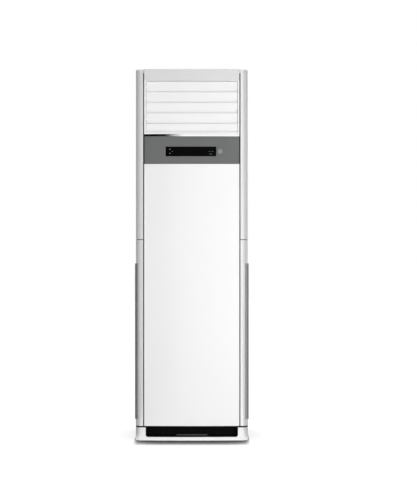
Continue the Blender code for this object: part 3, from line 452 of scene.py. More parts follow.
@dataclass(frozen=True)
class PowderCoat(Finish):
    """Painted sheet steel with an orange-peel skin."""

    peel: float = 420.0

    def paint(self, graph: Graph, shader: bpy.types.Node) -> None:
        """Connects colour, roughness and the skin's ripple."""
        place = self.position(graph)
        skin = Effects.place(graph, Effect.GRAIN, {"Vector": place, "Scale": self.peel})
        wear = Effects.place(graph, Effect.WEAR, {"Vector": place, "Edge": self.edge(graph)}).outputs["Mask"]
        dust = Effects.place(graph, Effect.DUST, {"Vector": place, "Normal": self.normal(graph)}).outputs["Mask"]
        darker = tuple(value * 0.965 for value in self.colour)
        base = graph.blend(skin.outputs["Tone"], (*darker, 1.0), (*self.colour, 1.0))
        base = graph.blend(graph.maths("MULTIPLY", wear, 0.30), base, (0.60, 0.60, 0.60, 1.0))
        base = graph.blend(graph.maths("MULTIPLY", dust, 0.30), base, (0.60, 0.58, 0.54, 1.0))
        graph.link(base, shader.inputs["Base Color"])
        gloss = graph.spread(skin.outputs["Height"], (0.2, 0.8), (self.roughness - 0.05, self.roughness + 0.06))
        graph.link(gloss, shader.inputs["Roughness"])
        self.relief(graph, shader, skin.outputs["Height"], 0.5, 0.00008)


@dataclass(frozen=True)
class ZincSheet(Finish):
    """Zinc-coated sheet with its spangle."""

    def paint(self, graph: Graph, shader: bpy.types.Node) -> None:
        """Connects the crystals to colour, roughness and relief."""
        place = self.position(graph)
        crystals = Effects.place(graph, Effect.SPANGLE, {"Vector": place})
        wear = Effects.place(graph, Effect.WEAR, {"Vector": place, "Edge": self.edge(graph)}).outputs["Mask"]
        tone = crystals.outputs["Tone"]
        light = tuple(min(1.0, value * 1.22) for value in self.colour)
        dark = tuple(value * 0.80 for value in self.colour)
        base = graph.blend(graph.spread(tone, (0.15, 0.85)), (*dark, 1.0), (*light, 1.0))
        base = graph.blend(graph.maths("MULTIPLY", wear, 0.5), base, (0.8, 0.8, 0.8, 1.0))
        graph.link(base, shader.inputs["Base Color"])
        gloss = graph.spread(tone, (0.1, 0.9), (self.roughness + 0.10, self.roughness - 0.08))
        graph.link(gloss, shader.inputs["Roughness"])
        shader.inputs["Metallic"].default_value = 0.9
        self.relief(graph, shader, crystals.outputs["Height"], 0.25, 0.00005)


@dataclass(frozen=True)
class PlatedTrim(Finish):
    """Mirror-bright plating with hairline wiping marks."""

    def paint(self, graph: Graph, shader: bpy.types.Node) -> None:
        """Connects the marks to colour, roughness and relief."""
        place = self.position(graph)
        marks = Effects.place(graph, Effect.SCUFFS, {"Vector": place}).outputs["Mask"]
        dull = tuple(value * 0.93 for value in self.colour)
        graph.link(graph.blend(marks, (*self.colour, 1.0), (*dull, 1.0)), shader.inputs["Base Color"])
        graph.link(graph.spread(marks, (0.0, 1.0), (self.roughness, self.roughness + 0.12)), shader.inputs["Roughness"])
        shader.inputs["Metallic"].default_value = 1.0
        self.relief(graph, shader, marks, 0.10, 0.00001)


@dataclass(frozen=True)
class SmokedWindow(Finish):
    """A smoked window: near black, glossy, with faint wiping marks and dust."""

    def paint(self, graph: Graph, shader: bpy.types.Node) -> None:
        """Connects the marks and the dust to colour and roughness."""
        place = self.position(graph)
        marks = Effects.place(graph, Effect.SCUFFS, {"Vector": place}).outputs["Mask"]
        grain = Effects.place(graph, Effect.GRAIN, {"Vector": place, "Scale": 300.0})
        lighter = tuple(value * 2.2 + 0.001 for value in self.colour)
        cloud = graph.maths("MULTIPLY_ADD", marks, 0.5, graph.maths("MULTIPLY", grain.outputs["Tone"], 0.4))
        graph.link(graph.blend(cloud, (*self.colour, 1.0), (*lighter, 1.0)), shader.inputs["Base Color"])
        graph.link(graph.spread(cloud, (0.0, 1.0), (self.roughness, self.roughness + 0.08)), shader.inputs["Roughness"])
        shader.inputs["Specular IOR Level"].default_value = 0.03
        self.relief(graph, shader, grain.outputs["Height"], 0.05, 0.00001)


@dataclass(frozen=True)
class FilterMesh(Finish):
    """A woven filter: light threads, with painted shade in the openings between them."""

    pitch: float = 0.0016

    def paint(self, graph: Graph, shader: bpy.types.Node) -> None:
        """Connects the threads to colour, roughness and relief."""
        cloth = graph.add("ShaderNodeUVMap", uv_map="surface").outputs["UV"]
        threads = Effects.place(graph, Effect.WEAVE, {"Vector": cloth, "Pitch": self.pitch})
        place = self.position(graph)
        lint = graph.spread(graph.noise(place, 120.0, 5.0, 0.7), (0.50, 0.72), (0.0, 0.35))
        # The openings between the threads are a quarter as bright as the threads: painted shade.
        painted_gap_shade = tuple(value * 0.25 for value in self.colour)
        base = graph.blend(threads.outputs["Thread"], (*painted_gap_shade, 1.0), (*self.colour, 1.0))
        graph.link(graph.blend(lint, base, (0.22, 0.21, 0.20, 1.0)), shader.inputs["Base Color"])
        gloss = graph.spread(threads.outputs["Thread"], (0.0, 1.0), (0.95, self.roughness))
        graph.link(gloss, shader.inputs["Roughness"])
        self.relief(graph, shader, threads.outputs["Height"], 0.8, 0.0004)


class Palette:
    """The cabinet's finishes."""

    WHITE = Moulding("front_white", (0.885, 0.886, 0.884), 0.30, drift=0.006, coat=0.9, wear=0.1, dust=0.06)
    LOUVER = Moulding("louver_satin_white", (0.880, 0.882, 0.880), 0.40, drift=0.012, dust=0.18)
    COLUMN = Moulding(
        "silver_lacquer", (0.905, 0.905, 0.905), 0.30, drift=0.010, depth=0.000003, wear=0.05, dust=0.08, metallic=0.55
    )
    FASCIA = Moulding("satin_pale_grey", (0.720, 0.720, 0.718), 0.36, drift=0.015, dust=0.12)
    CONTROL = Moulding(
        "control_grey", (0.137, 0.142, 0.139), 0.42, drift=0.08, wear_colour=(0.30, 0.30, 0.30), dust=0.06
    )
    BUTTON = Moulding(
        "button_lacquer", (0.24, 0.25, 0.25), 0.28, drift=0.05, metallic=0.35, wear_colour=(0.6, 0.6, 0.6)
    )
    BUTTON_LIGHT = Moulding("button_light_ring", (0.37, 0.38, 0.38), 0.35, drift=0.05, dust=0.05)
    MARK = Moulding("display_mark", (0.30, 0.32, 0.32), 0.40, drift=0.20, wear=0.0, dust=0.0)
    GRILLE = Moulding("grille_mid_grey", (0.300, 0.302, 0.304), 0.50, drift=0.06, wear_colour=(0.42, 0.42, 0.42))
    DUCT = Moulding("duct_foam_grey", (0.16, 0.16, 0.165), 0.72, drift=0.15, grain=500.0, depth=0.0002)
    # Black plastic made darker than real black, with hardly any reflection, as painted shade where it lines the toe
    # recess and the tray's line under the cabinet; the cable gland wears it as plain black.
    BLACK = Moulding("matt_black", (0.002, 0.002, 0.002), 0.60, drift=0.2, wear=0.1, dust=0.02, specular=0.05)
    CHASSIS = Moulding(
        "chassis_black", (0.026, 0.026, 0.027), 0.60, drift=0.2, wear_colour=(0.1, 0.1, 0.1), specular=0.2
    )
    BAR = Moulding("recess_bar", (0.060, 0.060, 0.060), 0.40, drift=0.1, wear_colour=(0.2, 0.2, 0.2))
    SHEET = PowderCoat("powder_coat_white", (0.82, 0.825, 0.825), 0.45)
    ZINC = ZincSheet("zinc_coat", (0.55, 0.56, 0.57), 0.42)
    TRIM = PlatedTrim("bright_plating", (0.95, 0.95, 0.955), 0.05)
    WINDOW = SmokedWindow("smoked_window", (0.001, 0.001, 0.0012), 0.10)
    FILTER = FilterMesh("filter_cloth", (0.10, 0.105, 0.11), 0.80)


class Shape:
    """A form being modelled, by the operators that the cabinet's pieces share."""

    def __init__(self) -> None:
        """Starts an empty form."""
        self.bm = bmesh.new()

    def edge_layer(self) -> bmesh.types.BMLayerItem:
        """The attribute that marks rounded edges, added where it isn't there yet."""
        layers = self.bm.verts.layers.float
        return layers.get("edge") or layers.new("edge")

    def unmark(self) -> None:
        """Clears the wear marks of what is rounded so far, such as a wide corner."""
        layer = self.edge_layer()
        for vert in self.bm.verts:
            vert[layer] = 0.0

    def copy(self, node: str) -> "Shape":
        """Takes a merged copy of a frame node's mesh, with its flat faces whole again.

        Args:
            node: the node's name.

        Returns:
            This shape.
        """
        self.bm.from_mesh(frame["nodes"][node].data)
        bmesh.ops.remove_doubles(self.bm, verts=self.bm.verts, dist=0.00001)
        bmesh.ops.dissolve_limit(
            self.bm, angle_limit=math.radians(0.3), verts=self.bm.verts, edges=self.bm.edges, delimit={"NORMAL"}
        )
        return self

    def box(self, low: Point, high: Point) -> list[BMVert]:
        """Adds a block between two corners.

        Args:
            low: its lowest corner.
            high: its highest corner.

        Returns:
            Its vertices.
        """
        size = [b - a for a, b in zip(low, high)]
        middle = [(a + b) / 2 for a, b in zip(low, high)]
        matrix = Matrix.Translation(middle) @ Matrix.Diagonal((*size, 1.0))
        return bmesh.ops.create_cube(self.bm, size=1.0, matrix=matrix)["verts"]

    def prism(self, outline: Sequence[Point], rise: Point) -> list[BMVert]:
        """Extrudes a flat outline.

        Args:
            outline: its corners, in order.
            rise: the way it is extruded.

        Returns:
            All its vertices.
        """
        face = self.bm.faces.new([self.bm.verts.new(point) for point in outline])
        start = list(face.verts)
        moved = self.only(bmesh.ops.extrude_face_region(self.bm, geom=[face])["geom"], BMVert)
        bmesh.ops.translate(self.bm, verts=moved, vec=rise)
        return start + moved

    def ribbon(self, path: Sequence[Point], rise: Point) -> list[BMFace]:
        """Extrudes an open path into a sheet.

        Args:
            path: its corners, in order.
            rise: the way it is extruded.

        Returns:
            The sheet's faces.
        """
        points = [self.bm.verts.new(point) for point in path]
        edges = [self.bm.edges.new(pair) for pair in zip(points, points[1:])]
        made = bmesh.ops.extrude_edge_only(self.bm, edges=edges)["geom"]
        bmesh.ops.translate(self.bm, verts=self.only(made, BMVert), vec=rise)
        return self.only(made, BMFace)

    def rod(self, axis: str, centre: Point, radius: float, length: float, sides: int = 24) -> list[BMVert]:
        """Adds a round bar along X or Y.

        Args:
            axis: "X" or "Y".
            centre: its middle.
            radius: its radius.
            length: its length.
            sides: its sides.

        Returns:
            Its vertices.
        """
        turn = Matrix.Rotation(math.pi / 2, 4, "Y" if axis == "X" else "X")
        return bmesh.ops.create_cone(
            self.bm,
            cap_ends=True,
            segments=sides,
            radius1=radius,
            radius2=radius,
            depth=length,
            matrix=Matrix.Translation(centre) @ turn,
        )["verts"]

    def turned(self, profile: Sequence[tuple[float, float]], centre: tuple[float, float], sides: int = 64) -> None:
        """Spins a profile about an axis along Y.

        Args:
            profile: radius and y of each point; a profile that starts off the axis is closed.
            centre: the axis's x and z.
            sides: the steps of a full turn.
        """
        x, z = centre
        points = [self.bm.verts.new((x + radius, y, z)) for radius, y in profile]
        edges = [self.bm.edges.new(pair) for pair in zip(points, points[1:])]
        if profile[0][0] > 0:
            edges.append(self.bm.edges.new((points[-1], points[0])))
        bmesh.ops.spin(
            self.bm,
            geom=points + edges,
            cent=(x, 0, z),
            axis=(0, 1, 0),
            angle=math.tau,
            steps=sides,
            use_merge=True,
            use_duplicate=False,
        )
        bmesh.ops.remove_doubles(self.bm, verts=self.bm.verts, dist=0.000005)

    def slice(self, axis: int, places: Iterable[float]) -> None:
        """Cuts the form across an axis, without parting it.

        Args:
            axis: 0, 1 or 2 for X, Y or Z.
            places: where along the axis.
        """
        normal = [0.0, 0.0, 0.0]
        normal[axis] = 1.0
        for place in places:
            point = [0.0, 0.0, 0.0]
            point[axis] = place
            self.split(point, normal)

    def split(self, point: Sequence[float], normal: Sequence[float]) -> None:
        """Cuts the form by one plane, without parting it."""
        geometry = self.bm.verts[:] + self.bm.edges[:] + self.bm.faces[:]
        bmesh.ops.bisect_plane(self.bm, geom=geometry, plane_co=point, plane_no=normal, dist=0.000001)

    def drop(self, inside: Callable[[Vector], bool]) -> None:
        """Deletes the faces whose middle passes a test."""
        faces = [face for face in self.bm.faces if inside(face.calc_center_median())]
        bmesh.ops.delete(self.bm, geom=faces, context="FACES")

    def thicken(self, wall: float) -> None:
        """Gives a sheet its wall, inwards from its face."""
        bmesh.ops.recalc_face_normals(self.bm, faces=self.bm.faces)
        bmesh.ops.solidify(self.bm, geom=self.bm.faces[:], thickness=wall)

    def round(self, edges: Iterable[BMEdge], radius: float, segments: int = 3) -> None:
        """Rounds edges and marks the rounding for wear.

        Args:
            edges: the edges to round.
            radius: the radius.
            segments: the faces across the rounding.
        """
        made = bmesh.ops.bevel(
            self.bm,
            geom=list(edges),
            offset=radius,
            offset_type="OFFSET",
            affect="EDGES",
            segments=segments,
            profile=0.5,
            clamp_overlap=True,
            material=-1,
        )
        strip = set(made["faces"])
        layer = self.edge_layer()
        for vert in made["verts"]:
            if vert.is_valid and all(face in strip for face in vert.link_faces):
                vert[layer] = 1.0

    def sharp(self, angle: float = 35.0, where: Callable[[Vector], bool] = lambda _: True) -> list[BMEdge]:
        """The edges that turn by more than an angle.

        Args:
            angle: the angle, in degrees.
            where: a test of the edge's middle.

        Returns:
            The edges.
        """
        self.bm.normal_update()
        limit = math.radians(angle)
        found = [edge for edge in self.bm.edges if len(edge.link_faces) == 2 and edge.calc_face_angle() > limit]
        return [edge for edge in found if where((edge.verts[0].co + edge.verts[1].co) / 2)]

    def along(self, axis: int, where: Callable[[Vector], bool]) -> list[BMEdge]:
        """The edges parallel to an axis whose middle passes a test."""
        found = []
        for edge in self.bm.edges:
            way = edge.verts[1].co - edge.verts[0].co
            if abs(way[axis]) > 0.999 * way.length and where((edge.verts[0].co + edge.verts[1].co) / 2):
                found.append(edge)
        return found

    def move(self, change: Callable[[Vector], Vector], verts: Optional[Iterable[BMVert]] = None) -> None:
        """Moves each vertex to where a function of its place says."""
        for vert in verts or self.bm.verts:
            vert.co = change(vert.co)

    def merge(self, other: "Shape") -> None:
        """Adds another form to this one and frees it."""
        mesh = bpy.data.meshes.new("part")
        other.bm.to_mesh(mesh)
        other.bm.free()
        self.bm.from_mesh(mesh)
        bpy.data.meshes.remove(mesh)

    @staticmethod
    def only(geometry: Iterable[object], kind: type) -> list:
        """The elements of one kind."""
        return [item for item in geometry if isinstance(item, kind)]


@dataclass(frozen=True)
class Place:
    """Where a piece belongs: its body, its slot, and the nodes it stands for."""

    slot: Slot
    nodes: tuple[str, ...] = ()
    body: str = Body.CABINET.value


class Workshop:
    """Turns shapes into finished pieces of the object."""

    made: list[str] = []

    @classmethod
    def finish(
        cls, name: str, shape: Shape, finish: Finish, place: Place, smooth: float = 40.0, outward: bool = True
    ) -> bpy.types.Object:
        """Makes the shape an object with its finish, parents it to its body's empty and hides the nodes it stands for.

        Args:
            name: the piece's name.
            shape: its form, which is used up.
            finish: its finish.
            place: its body and the nodes it stands for.
            smooth: edges that turn by less than this many degrees are shaded smooth.
            outward: whether the faces are turned outwards first.

        Returns:
            The piece.
        """
        shape.edge_layer()
        if outward:
            bmesh.ops.recalc_face_normals(shape.bm, faces=shape.bm.faces)
        mesh = bpy.data.meshes.new(name)
        shape.bm.to_mesh(mesh)
        shape.bm.free()
        mesh.materials.append(finish.material())
        mesh.shade_smooth()
        mesh.set_sharp_from_angle(angle=math.radians(smooth))
        piece = bpy.data.objects.new(name, mesh)
        bpy.context.scene.collection.objects.link(piece)
        weighted = piece.modifiers.new("flat_faces_stay_flat", "WEIGHTED_NORMAL")
        weighted.keep_sharp = True
        weighted.weight = 60
        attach(piece, place.body)
        if place.nodes:
            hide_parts(*place.nodes)
        cls.made.append(name)
        LOG.info("%s: %d faces, on %s", name, len(mesh.polygons), place.body)
        return piece

    @classmethod
    def refine(cls, node: str, finish: Finish, slot: Slot, radius: float, segments: int = 2) -> bpy.types.Object:
        """Finishes a node's own form with its sharp edges rounded.

        Args:
            node: the node's name.
            finish: its finish.
            slot: its slot.
            radius: the radius of its edges.
            segments: the faces across each rounding.

        Returns:
            The piece.
        """
        shape = Shape().copy(node)
        shape.round(shape.sharp(), radius, segments)
        return cls.finish(node + "_finished", shape, finish, Place(slot, (node,)))


@dataclass(frozen=True)
class Front:
    """The bow of the cabinet's front and the sizes that its pieces share."""

    half_width: float = 0.225
    bow: float = 0.006
    face: float = -0.184
    steps: int = 48

    def bowed(self, x: float) -> float:
        """How far in front of the straight face the bow lies at x."""
        share = min(abs(x) / self.half_width, 1.0)
        return self.bow * (1 - share**2)

    def block(self, node: str, depth: float = 0.0, margin: float = 0.0) -> Shape:
        """A block the size of a node, its front bowed.

        Args:
            node: the node whose box it takes.
            depth: how far under the bowed face its front lies.
            margin: how much it is drawn in on each side.

        Returns:
            The shape.
        """
        low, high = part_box(node)
        shape = Shape()
        left, right = low.x + margin, high.x - margin
        front = self.face + depth
        shape.box((left, front, low.z + margin), (right, high.y, high.z - margin))
        shape.slice(0, [left + (right - left) * i / self.steps for i in range(1, self.steps)])
        fronts = [vert for vert in shape.bm.verts if vert.co.y < front + NEAR]
        shape.move(lambda co: Vector((co.x, co.y - self.bowed(co.x), co.z)), fronts)
        return shape


@dataclass
class Base:
    """The plinth, its recess and the tray's shadow line."""

    plinth_edge: float = 0.0014
    recess_edge: float = 0.0005
    bar_edge: float = 0.0007
    steel_edge: float = 0.0006

    def build(self) -> None:
        """Models and dresses the base."""
        Workshop.refine("base_plinth", Palette.COLUMN, Slot.WHITE, self.plinth_edge, 3)
        # The recess panel and the tray wear the near-black finish, whose extra darkness is painted shade.
        Workshop.refine("toe_recess_panel", Palette.BLACK, Slot.BLACK, self.recess_edge)
        Workshop.refine("toe_recess_bar", Palette.BAR, Slot.BAR, self.bar_edge)
        Workshop.refine("bottom_tray", Palette.BLACK, Slot.CHASSIS, self.steel_edge)
        for side in Side:
            Workshop.refine(side.word + "_chassis_post", Palette.CHASSIS, Slot.CHASSIS, self.steel_edge)


@dataclass
class Panels:
    """The bowed front panel, the fascia and the polished strip."""

    front: Front
    edge_radius: float = 0.0007
    strip_bulge: float = 0.0007
    strip_points: int = 16
    lip: float = 0.003
    rim_depth: float = 0.002
    head_clearance: float = 0.0003

    def round_rim(self, shape: Shape) -> None:
        """Rounds the edges of the bowed face."""
        shape.round(shape.sharp(SHARP, lambda middle: middle.y < self.front.face + self.rim_depth), self.edge_radius, 5)

    def front_panel(self) -> None:
        """The tall moulded panel."""
        shape = self.front.block("front_panel")
        self.round_rim(shape)
        Workshop.finish("front_panel_moulding", shape, Palette.WHITE, Place(Slot.WHITE, ("front_panel",)))

    def fascia(self) -> None:
        """The grey fascia, hollow behind its lower lip."""
        low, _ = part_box("top_fascia")
        _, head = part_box("outlet_frame")
        shape = self.front.block("top_fascia")
        shape.slice(2, [head.z + self.head_clearance])
        behind = self.front.face + self.rim_depth / 2
        under = [vert for vert in shape.bm.verts if vert.co.z < low.z + NEAR and vert.co.y > behind]
        shape.move(lambda co: Vector((co.x, self.front.face - self.front.bowed(co.x) + self.lip, co.z)), under)
        self.round_rim(shape)
        Workshop.finish("fascia_moulding", shape, Palette.FASCIA, Place(Slot.FASCIA, ("top_fascia",)))

    def strip(self) -> None:
        """The bright bead over the control panel."""
        low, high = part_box("polished_strip")
        middle, half = (low.z + high.z) / 2, (high.z - low.z) / 2
        outline = []
        for step in range(self.strip_points + 1):
            share = -1 + 2 * step / self.strip_points
            outline.append((low.x, self.front.face + self.strip_bulge * share**2, middle + half * share))
        outline += [(low.x, high.y, high.z), (low.x, high.y, low.z)]
        shape = Shape()
        shape.prism(outline, (high.x - low.x, 0, 0))
        shape.slice(0, [low.x + (high.x - low.x) * i / self.front.steps for i in range(1, self.front.steps)])
        rear = high.y - NEAR
        fronts = [vert for vert in shape.bm.verts if vert.co.y < rear]
        shape.move(lambda co: Vector((co.x, co.y - self.front.bowed(co.x), co.z)), fronts)
        Workshop.finish("strip_bead", shape, Palette.TRIM, Place(Slot.TRIM, ("polished_strip",)))

    def build(self) -> None:
        """Models and dresses the panels."""
        self.front_panel()
        self.fascia()
        self.strip()


@dataclass
class Controls:
    """The control panel, its display window and its push button."""

    front: Front
    panel_edge: float = 0.0006
    window_depth: float = 0.0008
    window_lap: float = 0.0035
    window_edge: float = 0.0005
    mark_height: float = 0.0003
    mark_edge: float = 0.0001
    dot_radius: float = 0.0021
    dots: tuple[Span, ...] = ((-0.1035, 0.0098), (-0.1035, -0.0095))
    dash_width: float = 0.0010
    dashes: tuple[Point, ...] = (
        (-0.092, 0.0, 0.003),
        (0.083, 0.0, 0.004),
        (0.097, 0.0, 0.004),
        (0.090, -0.0125, 0.006),
    )
    button_radius: float = 0.014
    button_edge: float = 0.0012
    button_dish: float = 0.0011
    ring: Span = (0.0050, 0.0072)
    ring_seat: float = 0.0007
    ring_slope: float = 0.0004
    ring_rise: float = 0.0003
    ring_root: float = 0.0008
    centre_dot: float = 0.0020

    def panel(self) -> None:
        """The dark panel, with the sloped surround and the button's bore."""
        Workshop.refine("control_panel", Palette.CONTROL, Slot.CONTROL, self.panel_edge, 3)

    def window(self) -> None:
        """The black window."""
        shape = self.front.block("display_window", self.window_depth, -self.window_lap)
        shape.round(shape.sharp(SHARP, lambda middle: middle.y < self.front.face), self.window_edge, 2)
        Workshop.finish("display_pane", shape, Palette.WINDOW, Place(Slot.WINDOW, ("display_window",)))

    def face_at(self, x: float) -> float:
        """The window's surface at x."""
        return self.front.face + self.window_depth - self.front.bowed(x)

    def marks(self) -> None:
        """Plain indicator dots and dashes on the window."""
        low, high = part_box("display_window")
        middle = (low.z + high.z) / 2
        shape = Shape()
        rise, line = self.mark_height, self.dash_width / 2
        for x, z in self.dots:
            shape.rod("Y", (x, self.face_at(x), middle + z), self.dot_radius, 2 * rise, 16)
        for x, z, half in self.dashes:
            y = self.face_at(x)
            shape.box((x - half, y - rise, middle + z - line), (x + half, y + rise, middle + z + line))
        shape.round(shape.sharp(), self.mark_edge, 1)
        Workshop.finish("display_marks", shape, Palette.MARK, Place(Slot.WINDOW))

    def button(self) -> None:
        """The push button: a dished cap with a raised light ring."""
        low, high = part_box("power_button")
        centre = ((low.x + high.x) / 2, (low.z + high.z) / 2)
        radius, edge, front, rear = self.button_radius, self.button_edge, low.y, high.y
        bevel = edge / 3
        cap = [(0.0, rear), (radius - bevel, rear), (radius, rear - bevel), (radius, front + edge)]
        cap += [(radius - bevel, front + bevel), (radius - edge, front)]
        for share in (1 - i / 10 for i in range(1, 11)):
            cap.append(((radius - edge) * share, front + self.button_dish * (1 - share**2)))
        shape = Shape()
        shape.turned(cap, centre)
        Workshop.finish(
            "button_cap", shape, Palette.BUTTON, Place(Slot.BUTTON, ("power_button",), Body.BUTTON.value)
        )
        light = Shape()
        inner, outer = self.ring
        slope, top = self.ring_slope, front + self.ring_seat
        crown, root = top - self.ring_rise, top + self.ring_root
        profile = [(inner, root), (inner, top), (inner + slope, crown), (outer - slope, crown), (outer, top)]
        light.turned(profile + [(outer, root)], centre)
        dot, step = self.centre_dot, slope / 2
        profile = [(0.0, top), (dot - slope, top), (dot, top + step), (dot, root + step), (0.0, root + step)]
        light.turned(profile, centre, 32)
        Workshop.finish("button_ring", light, Palette.BUTTON_LIGHT, Place(Slot.BUTTON, (), Body.BUTTON.value))

    def build(self) -> None:
        """Models and dresses the controls."""
        self.panel()
        self.window()
        self.marks()
        self.button()


@dataclass
class Outlet:
    """The outlet: its frame, the louvers, the duct and the upright vanes."""

    frame_edge: float = 0.0005
    duct_edge: float = 0.0006
    chord: float = 0.056
    thickness: float = 0.003
    camber: float = 0.0012
    tilt: float = math.radians(10)
    end_cap: float = 0.007
    cap_rise: float = 0.0004
    pin_radius: float = 0.003
    pin_reach: float = 0.007
    pin_root: float = 0.003

    def louver(self, number: int) -> None:
        """One louver blade with its end caps and pivot pins.

        Args:
            number: 1 for the top one.
        """
        node = f"louver_{number}"
        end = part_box(node)[1].x
        joint = next(joint for joint in frame["joints"] if joint["child"] == node)
        pivot = Vector(joint["pos_m"])
        half = end - self.pin_reach
        edge = self.thickness / 2
        shape = Shape()
        shape.box((-half, -edge, -self.chord / 2), (half, edge, self.chord / 2))
        shape.slice(0, (-half + self.end_cap, half - self.end_cap))
        front = [f for f in shape.bm.faces if f.normal.y < -0.9 and abs(f.calc_center_median().x) > half - self.end_cap]
        raised = bmesh.ops.extrude_face_region(shape.bm, geom=front)["geom"]
        bmesh.ops.translate(shape.bm, verts=shape.only(raised, BMVert), vec=(0, -self.cap_rise, 0))
        bmesh.ops.delete(shape.bm, geom=front, context="FACES")
        long_edges = shape.along(0, lambda middle: abs(middle.z) > self.chord / 2 - NEAR)
        shape.round(long_edges, edge * 0.96, 4)
        span = self.chord / 2 - edge
        shape.slice(2, [span * (i / 6) for i in range(-5, 6)])
        shape.move(lambda co: Vector((co.x, co.y - self.camber * max(0.0, 1 - (co.z / span) ** 2), co.z)))
        bmesh.ops.rotate(shape.bm, verts=shape.bm.verts, cent=(0, 0, 0), matrix=Matrix.Rotation(self.tilt, 3, "X"))
        bmesh.ops.translate(shape.bm, verts=shape.bm.verts, vec=(0, pivot.y, pivot.z))
        length = self.pin_reach + self.pin_root
        for side in Side:
            shape.rod("X", (side.value * (end - length / 2), pivot.y, pivot.z), self.pin_radius, length, 20)
        Workshop.finish(f"louver_blade_{number}", shape, Palette.LOUVER, Place(Slot.LOUVER, (node,), node))

    def build(self) -> None:
        """Models and dresses the outlet."""
        Workshop.refine("outlet_frame", Palette.LOUVER, Slot.LOUVER, self.frame_edge)
        for number in range(1, 6):
            self.louver(number)
        Workshop.refine("outlet_duct", Palette.DUCT, Slot.DUCT, self.duct_edge)
        Workshop.refine("outlet_vanes", Palette.DUCT, Slot.DUCT, self.duct_edge)


